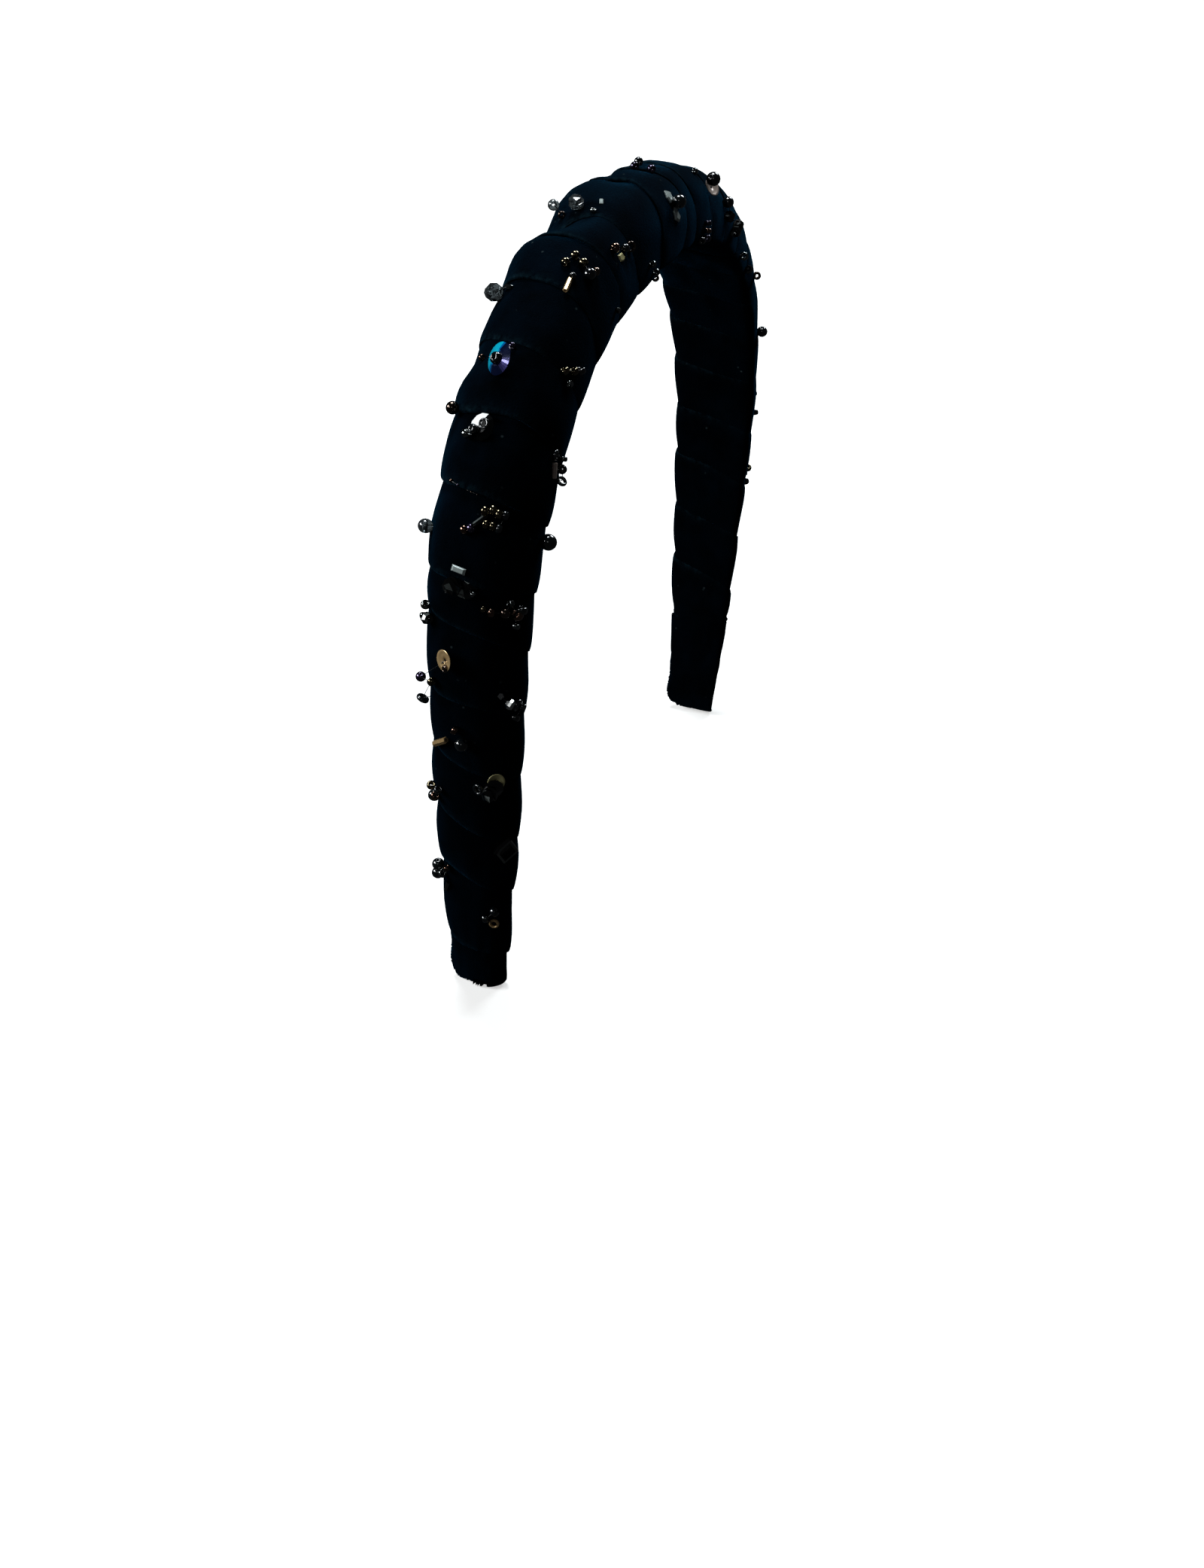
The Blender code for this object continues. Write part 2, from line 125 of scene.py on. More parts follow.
# The strip's reach under its own fold, and in under the next turn.
TURNED_UNDER = (2.6, 1.0)
TUCKED_IN = (1.5, 3.0)
TUCK_FALL = 0.12
# Its bulge between two folds, its uneven lie, and the puckers behind a fold.
TURN_SWELL = 0.4
DRAPE = 0.2
PUCKERS = 0.24
PUCKERS_AROUND = 24
EDGE_WAVER = 0.6
# How far each edge is pulled from an even winding, by the number of turns: a line for each.
EDGE_PULLS = {
    -12.8: 0, -12.62: -1.5, -12.5: -3.0, -12.4: -4.0, -12.2: -1, -12.0: 0,
    -10.9: 0, -10.65: -2.3, -10.5: -2.6, -10.3: 0,
    -9.9: 0, -9.65: -1.8, -9.5: -2.1, -9.3: 0,
    -7.85: 0, -7.5: 1.5, -7.35: 2.5, -7.1: 0,
    -6.85: 0, -6.7: -1.5, -6.5: -3.0, -6.35: -3.8, -6.1: -1.5, -6.0: 0,
    -5.55: 0, -5.38: -1.8, -5.2: 0,
    -4.55: 0, -4.38: -1.8, -4.2: 0,
    -3.0: 0, -2.5: 1.0, -1.6: 1.0, -1.2: 0,
    -0.66: 0, -0.5: -1, -0.41: -5.5, -0.2: -3, 0.05: 0,
    0.35: 1.7, 0.5: 4, 0.56: 3.5, 0.62: 7.0, 0.8: 2,
    1.15: 3, 1.28: 7, 1.42: 3, 1.53: -1.5, 1.8: 0,
    2.28: 1.5, 2.42: -1.5, 2.5: 0.8, 3.0: 0,
}
PULL_SOFTNESS = 0.035
# The padding rises and sinks under the winding: the place on top, how far each hill or
# waist runs on to the back side, and its height there.
PADDING = [
    (-54, 0, -1.2), (-46, 0, -0.6), (-40, 0, -0.4), (-34, 0, -0.2), (-28.5, 0, 1.2),
    (-24.5, 0, -2.1), (-20, 0, -2.7), (-14.5, 0, -1), (-5.5, 0, 0.6), (-3, 9, -1.8),
    (11, 0, -1.7), (20, 0, -0.3), (28, 0, -1.8), (34, 0, -0.5), (41, 0, -1.2), (54, 0, -0.6),
]
PADDING_REACH = 3.6
# How much of it shows on the front, where 1 is as much as on the back.
PADDING_ON_FRONT = 0.2
# Its fullness over the whole crown, and along the front of the right arm: from where it
# rises, over what length, and how it falls off to the tip.
CROWN_SWELL = 0.5
SWELL_START = 8.0
SWELL_END = 66.0
FRONT_SWELL = 1.4
FRONT_START = 40.0
FRONT_RISE = 60.0
FRONT_END = 174.0
FRONT_FALL = 22.0
# Under the waists the crown's foam is squeezed: its distance below the velvet.
FOAM_DEPTH = 1.35
FOAM_END = 45.5
# Past this place the velvet lies under the left tab: sunk this much, and this much farther.
RIBBON_END = 158.0
COVERED_DEPTH = 0.15
COVERED_REACH = 8

# The raw end tabs: where they start, how flat and wide they end, and how rough their edge is.
TAB_LAP = 162.0
TAB_PINCH = 0.82
TAB_LAYER = 0.8
TAB_MOUTH = 1.1
TAB_FLARE = 0.2
TAB_TAPER = 9.0
TAB_DEPTH = 0.35
RIM_PALENESS = 0.6
FRAY = 0.35
RAGGED_SIDE = 0.3
RAGGED_LENGTH = 15.0

SEED = 7

# Sewing thread: it shows between neighbouring beads, and under farther ones it dives.
THREAD_RADIUS = 0.07
THREAD_REACH = 3.2
THREAD_DEPTH = 0.5
THREAD_ARCH = 0.15
THREAD_BOW = 0.2
LOOSE_THREADS = ("gold_sequin", "hanging_ring_bead")

Bead = namedtuple("Bead", "kind along across finish lift turn tilt size")


def bead(kind, along, across, finish="black_glass", lift=0.0, turn=None, tilt=None, size=1.0):
    """A bead, of black glass unless a finish is given.
    Without a turn, its hole lies along the thread to its neighbours."""
    return Bead(kind, along, across, finish, lift, turn, tilt, size)


def beads(kind, places, finish="black_glass", **pose):
    """Like beads at several (along, across), in the order of the thread."""
    return [bead(kind, along, across, finish, **pose) for along, across in places]


# Radius and height of each kind of bead, in millimetres.
BEAD_SIZES = {
    "seed": (1.0, 1.2),
    "round": (1.35, 2.5),
    "ring": (1.2, 0.8),
    "cut": (1.3, 2.0),
    "crystal": (1.9, 3.1),
    "square": (2.4, 1.4),
    "chip": (1.3, 0.7),
    "wedge": (1.6, 0.7),
    "slab": (1.5, 0.8),
    "bugle": (0.72, 4.4),
    "sequin": (2.2, 0.4),
    "star": (2.8, 0.7),
    "paillette": (3.0, 0.8),
    "dome": (3.35, 0.8),
}
# How deep a bead sits in the pile.
BEAD_SINK = 0.2
# The kinds of bead that lie on their side unless a tilt is given.
LYING_KINDS = ("seed", "round", "bugle", "cut")
# A cut crystal is mostly dark, with painted highlights on a few random facets: the higher this is,
# the fewer of them.
CRYSTAL_CONTRAST = 14
# Faces of the square crystal that lean out more than this are its rim, painted lighter as a
# highlight where it catches the light.
RIM_LEAN = 0.25
# A velvet point under a bead is looked for from this far above and below the CAD's surface.
SEARCH_ABOVE = 8.0
SEARCH_BELOW = 6.0

CROWN_CLUSTERS = {
    "back_seed_pair": [
        bead("round", -15, 9, "smoke_glass", lift=1.0, size=0.9),
        bead("seed", -17.5, 7, "bronze", size=0.8),
    ],
    "crystal_and_bugle": [
        bead("crystal", -17, 3, "smoke_glass", tilt=35, turn=0, size=0.95),
        bead("seed", -18, -1, "silver_glass", tilt=15, size=0.7),
        bead("slab", -14.9, -1.4, "cloudy_mirror", turn=20, size=0.65),
    ],
    "top_seed_trio": [
        bead("seed", 8.5, 0.5, turn=60, lift=0.1),
        *beads("seed", [(4, -0.5), (5.5, -3.5)], "purple_glass", turn=60),
    ],
    "round_bead_and_chips": [
        bead("chip", 0.6, -10.3, "cloudy_mirror", turn=75, size=1.1),
        bead("round", 1.4, -12, size=1.15, turn=30),
        bead("wedge", 0.9, -14.1, "cloudy_mirror", turn=110),
    ],
    "bronze_sequin": [
        bead("seed", 22.5, -7, "silver_glass", size=0.8),
        bead("sequin", 26.5, -10.8, "rose_shell", lift=0.4, tilt=20, turn=200),
        bead("round", 25, -10, lift=1.0, size=1.2),
    ],
    "front_crystals": [
        bead("round", 35.5, -13),
        *beads("cut", [(36, -16), (41.5, -16.5), (39.5, -18.5)], "black_crystal"),
    ],
    "purple_seed_column": [
        bead("seed", 19, -18.7, "purple_glass", size=0.85),
        bead("seed", 19, -20.3, "copper_glass", size=0.85),
        bead("seed", 19.3, -21.9, "purple_glass", size=0.85),
        bead("seed", 16.2, -22.2, size=0.8),
    ],
    "gold_seed_ring": [
        bead("seed", -35, -3, "gold_glass", turn=20),
        bead("seed", -32.8, -3.9, "gold_glass", turn=60),
        bead("seed", -33.5, -5.8, "gold_glass", turn=40),
        bead("round", -35.2, -7.6, turn=80),
        bead("seed", -33.6, -8.4, "bronze", turn=120),
        bead("seed", -37, -5.2, size=0.8),
        bead("bugle", -38.8, -5.1, "gold", turn=2, size=0.75),
    ],
    "small_bronze_sequin": [
        bead("round", -25.8, -9.2, "copper_glass", size=0.8),
        bead("round", -22.8, -11.1, size=0.7),
        bead("ring", -20.5, -12.1, "bronze", tilt=35),
        bead("chip", -24.9, -11.7, "pale_gold", size=0.85),
    ],
    "shoulder_crystal": [
        bead("crystal", -41.5, 9, "smoke_glass", tilt=60, turn=90, size=1.1),
        bead("bugle", -39.8, 7.5, "silver_glass", turn=60, size=0.7),
    ],
}
RIGHT_CLUSTERS = {
    "blue_sequin": [
        bead("seed", -52.3, 0.3, "purple_glass", size=0.8),
        # Its coating's colours carry a painted sheen, cyan towards the window.
        bead("dome", -55.6, 1.1, "blue_iridescent", tilt=34, turn=115, lift=0.2),
        bead("seed", -56.0, 1.2, lift=2.3, tilt=34, turn=115, size=1.25),
        bead("seed", -54.2, 7, "copper_glass", size=0.7),
    ],
    "shoulder_front_seeds": [
        *beads("seed", [(-53, -10.9), (-51.9, -12.8)], "gold_glass", turn=75),
        bead("seed", -50.8, -14.4, turn=60),
        bead("seed", -54.2, -13.1, "silver_glass", size=0.8),
    ],
    "striped_bronze_bead": [bead("round", -63.5, 8.6, "bronze", turn=90)],
    "silver_sequin": [
        # Its colours are a painted reflection, white towards the window.
        bead("star", -66.3, 1.2, "silver_painted_reflection", tilt=14, turn=100),
        bead("ring", -65.9, 0.7, lift=1.1, tilt=10, turn=90),
        bead("seed", -67.0, 2.4, lift=0.9, tilt=30, turn=90, size=1.05),
        bead("seed", -67.8, 3.6, "silver_glass", lift=0.4),
    ],
    "copper_bugle_group": [
        bead("ring", -66.6, -15, tilt=20),
        bead("seed", -66.3, -18, "silver_glass", size=0.8),
        bead("bugle", -69.2, -15.8, "rose_shell", turn=20, size=0.7),
        bead("seed", -68.2, -18.2),
        bead("ring", -70.2, -19, "silver_glass", tilt=50, turn=40),
    ],
    "gold_seed_group": [
        bead("seed", -82.3, 0.5, "copper_glass"),
        bead("seed", -81.9, -0.8, "purple_glass"),
        bead("bugle", -80.4, -2.3, "black_crystal", turn=-45, size=0.8),
        *beads(
            "seed", [(-78.9, -2.8), (-78.5, -4.2), (-79, -5.3)], "gold_glass", turn=80, size=1.1
        ),
        bead("seed", -79.0, -6.5, turn=80, size=1.05),
        bead("seed", -81.2, -5.7, turn=80),
        *beads("seed", [(-81, -4.6), (-80.9, -3.4)], "gold_glass", turn=80),
    ],
    "back_round_bead": [bead("round", -83, 9.8, "smoke_glass", size=1.15)],
    "faceted_crystal": [
        bead("slab", -88.8, 0.7, "cloudy_mirror", turn=80),
        bead("paillette", -91.6, -0.4, "black_crystal", turn=15, size=0.92),
        bead("crystal", -91.4, 1.4, "black_crystal", lift=0.3, tilt=42, turn=125, size=1.05),
        bead("seed", -92.3, -2.6, "silver_glass", lift=0.7, turn=45, size=0.7),
    ],
    "back_crystal_trio": [
        *beads("seed", [(-96.3, 8.2), (-98.8, 9.8)], "silver_glass"),
        bead("cut", -98.6, 7.6, "black_crystal"),
    ],
    "copper_seed_group": [
        bead("seed", -94.6, -4.6, "gold_glass", size=0.75),
        bead("seed", -95.0, -6.0, "copper_glass"),
        bead("round", -95, -8.4, "bronze", turn=90, size=0.85),
        bead("seed", -93.4, -9.6, "silver_glass", size=0.9),
        bead("seed", -95.3, -10.7, "copper_glass", size=1.25),
        bead("seed", -94.4, -11.4, lift=0.3, size=1.2),
        bead("seed", -97.4, -10.6, "silver_glass", size=0.9),
    ],
    "gold_sequin": [
        bead("sequin", -104.7, 2.2, "gold", tilt=24, turn=78, lift=0.6),
        bead("seed", -106.0, 1.8, "bronze", tilt=30, turn=78, lift=1.5, size=0.8),
    ],
    "hanging_ring_bead": [
        bead("seed", -105.2, 2.6, lift=1.3, size=0.25),
        bead("round", -110.7, 9, "purple_glass", lift=0.9, size=0.8),
        bead("seed", -110.3, 5.8, "gold_glass", turn=60),
        bead("ring", -116, 9.4, lift=0.5, tilt=60, turn=180, size=1.15),
    ],
    "silver_bead_group": [
        bead("chip", -111.3, -8.3, "silver", size=0.6),
        bead("cut", -113.0, -9.6, "silver", size=0.85, tilt=40),
        bead("ring", -113.8, -11.2, tilt=25, turn=200, size=1.2),
        bead("seed", -114.6, -12.4, "silver_glass", size=0.9),
        bead("seed", -116.7, -10.8),
    ],
    "tilted_bugle": [
        bead("seed", -119.7, 0.8, "copper_glass", turn=60),
        bead("round", -122.4, -0.8, size=1.1),
        bead("bugle", -123.8, 4.4, "gold", turn=-55, size=0.95),
    ],
    "yellow_sequin": [
        bead("sequin", -131.5, -6.8, "pale_gold", turn=0, tilt=10, lift=0.4, size=0.85),
        bead("paillette", -132.9, -6.2, "black_crystal", lift=0.9, turn=40, size=0.74),
        bead("crystal", -133.4, -5.5, "black_crystal", lift=0.8, size=0.95, tilt=70, turn=90),
        bead("ring", -133.4, -3.4, tilt=30, turn=90, size=1.1),
    ],
    "back_bead_quartet": [
        bead("seed", -136, 7.4, "gold_glass"),
        bead("round", -139.6, 8.6),
        bead("seed", -137.6, 5.9, "copper_glass"),
        bead("seed", -135.6, 5),
    ],
    "square_crystal": [bead("square", -148.9, -7.8, "black_crystal", lift=0.3, turn=30)],
    "back_crystal_cluster": [
        *beads("round", [(-157.5, 8.2), (-160, 8.4)]),
        bead("seed", -158.6, 6.3, "silver_glass"),
        bead("seed", -156.5, 5, "copper_glass", size=0.9),
        bead("bugle", -161.5, 5.4, "silver_glass", turn=-25, size=0.65),
    ],
    "tip_gold_ring": [
        bead("seed", -165, -5.3, size=1.1),
        bead("seed", -166.8, -3.6, "silver_glass", turn=100),
        bead("ring", -168.5, -5.2, "gold", tilt=18, turn=90, size=0.95),
    ],
}
# Small beads outside the larger clusters.
STRAY_BEADS = {
    "front_seed_string": [
        *beads("seed", [(-14.8, -19), (-13.6, -21.3)], "silver_glass", size=0.8),
        bead("seed", -11.7, -23.5, "bronze", size=0.8),
    ],
    "front_square_bead": [bead("cut", -33, -18, "silver_glass", size=0.5)],
    "left_shoulder_string": [
        bead("seed", 51, -20, "silver_glass"),
        bead("cut", 59, -19, "silver_glass", size=0.8),
        bead("seed", 65.5, -16, "bronze"),
    ],
    "right_front_bead": [bead("round", -82, -16.6, size=1.3)],
    "fold_stitches": [
        bead("seed", -75.2, 5.1, "copper_glass", size=0.4),
        bead("seed", -75.7, 3.6, "purple_glass", size=0.25),
        *beads("seed", [(-76.1, 2.2), (-76.4, 1)], "bronze", size=0.25),
        bead("seed", -76.6, -0.3, "bronze", size=0.2),
    ],
}
# The wearer's left arm carries the same kinds of cluster: pattern, along, across.
LEFT_PATTERNS = {
    "seed_trio": [
        *beads("seed", [(0, 0), (1.8, 1.2)], "gold_glass"),
        bead("seed", 3.4, -0.4),
    ],
    "bugle_and_seeds": [
        bead("seed", -2.8, 1.6, "copper_glass"),
        bead("bugle", 0, 0, "copper_glass", turn=35),
        bead("seed", 2.8, -1.8),
    ],
    "sequin_and_ring": [
        bead("sequin", 0, 0, "silver"),
        bead("ring", 0, 0, lift=0.8, tilt=0),
    ],
    "crystal_and_seed": [
        bead("crystal", 0, 0, "black_crystal", tilt=20),
        bead("seed", 3, 1.2, "silver_glass"),
    ],
    "round_bead": [bead("round", 0, 0)],
}
LEFT_PLACES = {
    "upper_crystal": ("crystal_and_seed", 54, 6),
    "front_seeds": ("seed_trio", 61, -4.5),
    "upper_sequin": ("sequin_and_ring", 66, 1),
    "back_round_bead": ("round_bead", 70, 14),
    "upper_bugle": ("bugle_and_seeds", 77, -4),
    "front_round_bead": ("round_bead", 84, -14),
    "middle_crystal": ("crystal_and_seed", 90, 3),
    "back_seeds": ("seed_trio", 98, 10),
    "middle_bugle": ("bugle_and_seeds", 104, -7),
    "middle_sequin": ("sequin_and_ring", 113, 1),
    "lower_seeds": ("seed_trio", 121, -8),
    "lower_crystal": ("crystal_and_seed", 130, 6),
    "lower_bugle": ("bugle_and_seeds", 140, -3),
    "lower_sequin": ("sequin_and_ring", 150, 3),
    "tip_seeds": ("seed_trio", 159, -5),
    "tip_round_bead": ("round_bead", 168, 3),
}

# Camera, in millimetres and degrees: round the object, its aim, and how the band leans to it.
CAMERA_AZIMUTH = -69.6
CAMERA_ELEVATION = 16.28
CAMERA_DISTANCE = 528.7
CAMERA_PITCH = 28.68
CAMERA_YAW = 0.33
CAMERA_ROLL = 0.6
CAMERA_LENS = 55.4
BAND_LEAN = 1.85


# ---------------------------------------------------------------- the padded band's shape


def lengths_along(points):
    """The length of a line of points up to each of them."""
    return np.concatenate([[0], np.cumsum(np.hypot(*np.diff(points, axis=0).T))])


def arch_line():
    """Lengths along the inner face from the crown to one tip, with x and z at each."""
    turn = np.linspace(0, math.pi / 2, ARCH_STEPS)
    power = 2 / ARCH_EXPONENT
    round_x = ARCH_HALF_WIDTH * np.sin(turn) ** power
    round_z = -ARCH_DROP * (1 - np.clip(np.cos(turn), 0, 1) ** power)
    down = np.linspace(0, 1, ARCH_STEPS)[1:]
    leg_x = ARCH_HALF_WIDTH - (ARCH_HALF_WIDTH - TIP_HALF_WIDTH) * down**2
    leg_z = -ARCH_DROP - (ARCH_HEIGHT - ARCH_DROP) * down
    x = np.concatenate([round_x, leg_x])
    z = np.concatenate([round_z, leg_z])
    return lengths_along(np.stack([x, z], axis=1)), x, z


ARCH_LENGTH, ARCH_X, ARCH_Z = arch_line()
TIP_ALONG = float(ARCH_LENGTH[-1])


def arch_point(along):
    """The point of the inner face at this place, in its middle."""
    side = math.copysign(1, along)
    x = side * np.interp(abs(along), ARCH_LENGTH, ARCH_X)
    return Vector((x, 0, np.interp(abs(along), ARCH_LENGTH, ARCH_Z)))


def outward(along):
    """The unit direction away from the head at this place on the arch."""
    step = 0.5
    ahead = arch_point(min(along + step, TIP_ALONG))
    behind = arch_point(max(along - step, -TIP_ALONG))
    run = (ahead - behind).normalized()
    return Vector((-run.z, 0, run.x))


def band_width(along):
    """The padded section's width, front to back."""
    share = abs(along) / TIP_ALONG
    return CROWN_WIDTH - (CROWN_WIDTH - TIP_WIDTH) * (share + 2 * share**2) / 3


def band_thickness(along):
    """The padded section's height over the inner face."""
    fall = 0.5 + 0.5 * math.cos(math.pi * min(abs(along) / TIP_ALONG, 1) ** THICKNESS_FALL)
    return TIP_THICKNESS + (CROWN_THICKNESS - TIP_THICKNESS) * fall


def dome(width, thickness, angle):
    """(y, height) on the flat-bottomed rounded section, angle -90 to 90 degrees across it."""
    sine, cosine = math.sin(angle), max(math.cos(angle), 0)
    y = width / 2 * math.copysign(abs(sine) ** SIDE_POWER, sine)
    return y, thickness * cosine**TOP_POWER


def dome_points(along):
    """Points over the section from front to back, with the lengths over it from its middle."""
    angles = np.radians(np.arange(-90, 91, 3))
    width, thickness = band_width(along), band_thickness(along)
    points = np.array([dome(width, thickness, float(angle)) for angle in angles])
    lengths = lengths_along(points)
    return points, lengths - lengths[len(lengths) // 2]


def surface_point(along, across):
    """The point of the padded outside at this place."""
    points, lengths = dome_points(along)
    y = float(np.interp(across, lengths, points[:, 0]))
    height = float(np.interp(across, lengths, points[:, 1]))
    return arch_point(along) + outward(along) * height + Vector((0, y, 0))


def surface_frame(along, across):
    """A point on the CAD's velvet and its axes: along the band, across it, and out of it."""
    reach = 0.6
    run = surface_point(along + reach, across) - surface_point(along - reach, across)
    side = surface_point(along, across + reach) - surface_point(along, across - reach)
    out = side.cross(run).normalized()
    middle = surface_point(along, across)
    if out.dot(middle - arch_point(along)) < 0:
        out.negate()
    run = (run - out * run.dot(out)).normalized()
    return middle, Matrix((run, out.cross(run), out)).transposed()


def even_loop(points, count):
    """A closed loop of points at even lengths along the given loop."""
    closed = np.vstack([points, points[:1]])
    lengths = lengths_along(closed)
    at = np.linspace(0, lengths[-1], count, endpoint=False)
    loop = [np.interp(at, lengths, closed[:, i]) for i in range(closed.shape[1])]
    return np.stack(loop, axis=1)


def soft_section(along):
    """The section as COLUMNS even points with soft corners: from the middle of the inner face
    to the front, over the outside, and round the back."""
    points, _ = dome_points(along)
    loop = even_loop(np.vstack([[0.0, 0.0], points, [0.0, 0.0]])[:-1], 2 * COLUMNS)
    spacing = np.hypot(*(loop[1] - loop[0]))
    softness = min(CORNER_SOFTNESS, 0.2 * band_thickness(along))
    for _ in range(int(2 * (softness / spacing) ** 2)):
        loop = (np.roll(loop, 1, axis=0) + 2 * loop + np.roll(loop, -1, axis=0)) / 4
    return loop[::2]


def surface_grid():
    """Stations along the band with the points and outward normals of every column there."""
    stations = np.arange(-TIP_ALONG, TIP_ALONG + STATION_STEP / 2, STATION_STEP)
    points = np.zeros((len(stations), COLUMNS, 3))
    normals = np.zeros_like(points)
    for i, along in enumerate(stations):
        foot, away = np.array(arch_point(along)), np.array(outward(along))
        loop = soft_section(along)
        run = np.roll(loop, -1, axis=0) - np.roll(loop, 1, axis=0)
        run /= np.hypot(run[:, 0], run[:, 1])[:, None]
        points[i] = foot + loop[:, 1:] * away + loop[:, :1] * np.array([0, 1, 0])
        normals[i] = run[:, :1] * away - run[:, 1:] * np.array([0, 1, 0])
    return stations, points, normals


STATIONS, GRID_POINTS, GRID_NORMALS = surface_grid()


def on_band(along, column, height):
    """Points at a height over the padded surface, from arrays of places and whole columns."""
    place = np.clip((along - STATIONS[0]) / STATION_STEP, 0, len(STATIONS) - 1.001)
    row = place.astype(int)
    share = (place - row)[..., None]
    point = GRID_POINTS[row, column] * (1 - share) + GRID_POINTS[row + 1, column] * share
    normal = GRID_NORMALS[row, column] * (1 - share) + GRID_NORMALS[row + 1, column] * share
    return point + normal * height[..., None]


def ramp(value, start, length):
    """0 up to the start, rising evenly to 1 over the length."""
    return np.clip((value - start) / length, 0, 1)


def hill(value, middle, reach):
    """1 in the middle, falling off softly on both sides."""
    return np.exp(-(((value - middle) / reach) ** 2))


def eased(share):
    """A share from 0 to 1 that starts and ends softly."""
    return share * share * (3 - 2 * share)


def noise_line(at, seed):
    """Smooth random values from -1 to 1 along a line, with one knot per unit."""
    knots = np.random.default_rng(seed).uniform(-1, 1, 4096)
    index = np.floor(at).astype(int)
    share = eased(at - index)
    return knots[index % 4096] * (1 - share) + knots[(index + 1) % 4096] * share


def noise_sheet(u, v, seed, wrap_u):
    """Smooth random values over a sheet that repeats after wrap_u units of u."""
    knots = np.random.default_rng(seed).uniform(-1, 1, (wrap_u, 512))
    i, j = np.floor(u).astype(int), np.floor(v).astype(int)
    a, b = eased(u - i), eased(v - j)
    low = knots[i % wrap_u, j % 512] * (1 - a) + knots[(i + 1) % wrap_u, j % 512] * a
    j = j + 1
    high = knots[i % wrap_u, j % 512] * (1 - a) + knots[(i + 1) % wrap_u, j % 512] * a
    return low * (1 - b) + high * b


# ---------------------------------------------------------------- the wound velvet ribbon


def turn_table():
    """Places along the band and the number of turns of ribbon that reach each."""
    along = np.arange(-TIP_ALONG - 40, TIP_ALONG + 40, 0.5)
    pitch = PITCH_AT_CROWN + PITCH_GAIN * (np.abs(along) / TIP_ALONG) ** PITCH_POWER
    turns = np.cumsum(0.5 / pitch)
    turns -= np.interp(EDGE_ON_TOP, along, turns) - 0.5
    return along, turns


TURN_PLACES, TURN_COUNTS = turn_table()


def fold_edge(turns):
    """Where along the band the ribbon's folded edge lies after a number of turns.
    Whole turns are at the middle of the inner face and half turns on top."""
    along = np.interp(turns, TURN_COUNTS, TURN_PLACES)
    places, pulls = list(EDGE_PULLS), list(EDGE_PULLS.values())
    pull = 0
    for step, weight in ((-1.5, 0.15), (-0.6, 0.35), (0.6, 0.35), (1.5, 0.15)):
        pull = pull + weight * np.interp(turns + step * PULL_SOFTNESS, places, pulls)
    return along + pull + EDGE_WAVER * noise_line(turns * 5, SEED)


def from_inner(turns):
    """The part of a turn between a place and the middle of the inner face."""
    return np.minimum(turns % 1, 1 - turns % 1)


def fold_height(turns):
    """How high the folded edge stands over the padding."""
    whole = np.arange(FIRST_TURN - 2, LAST_TURN + 3)
    heights = [FOLD_HEIGHTS.get(int(n), FOLD_HEIGHT) for n in whole]
    height = np.interp(turns - 0.5, whole, heights)
    inner_face = np.exp(-((from_inner(turns) / 0.17) ** 4))
    front = hill(turns % 1, 0.26, 0.13)
    uneven = 1 + FOLD_UNEVEN * noise_line(turns * 4, SEED + 1)
    return height * uneven * (1 - LOSS_ON_INNER_FACE * inner_face) * (1 - LOSS_ON_FRONT * front)


def outside(turns):
    """1 where the winding passes over the padded outside, and 0 on the inner face."""
    return eased(ramp(from_inner(turns), 0.19, 0.13))


def relief(along, turns):
    """The soft hills of the padding between the winding's tight waists."""
    turn = turns % 1
    swell = np.tanh((along + SWELL_END) / 6) - np.tanh((along - SWELL_START) / 6)
    height = CROWN_SWELL / 2 * swell
    for place, run, rise in PADDING:
        middle = place + run * ramp(turn, 0.5, 0.12)
        share = PADDING_ON_FRONT + (1 - PADDING_ON_FRONT) * ramp(turn, 0.46, 0.14)
        height = height + rise * share * hill(along, middle, PADDING_REACH)
    front = hill(turn, 0.25, 0.11) * ramp(-along, FRONT_START, FRONT_RISE)
    front = front * np.maximum(ramp(along, -FRONT_END, FRONT_FALL), 0.3)
    return height * outside(turns) + FRONT_SWELL * front


def crown_foam():
    """The crown's foam as it is squeezed by the winding, closed at both ends."""
    stations = np.arange(-FOAM_END, FOAM_END + 0.5, 1.0)
    column = np.arange(COLUMNS)
    turns = column / COLUMNS
    rows = []
    for along in stations:
        height = np.minimum(relief(along, turns) - CROWN_SWELL * outside(turns), 0) - FOAM_DEPTH
        points = on_band(np.full(COLUMNS, along), column, height)
        rows.append(points)
    ends = [np.broadcast_to(row.mean(0), row.shape) for row in (rows[0], rows[-1])]
    grid = np.stack([ends[0], *rows, ends[1]])
    foam = grid_object("crown_foam", closed_round(grid))
    weld(foam)
    return foam


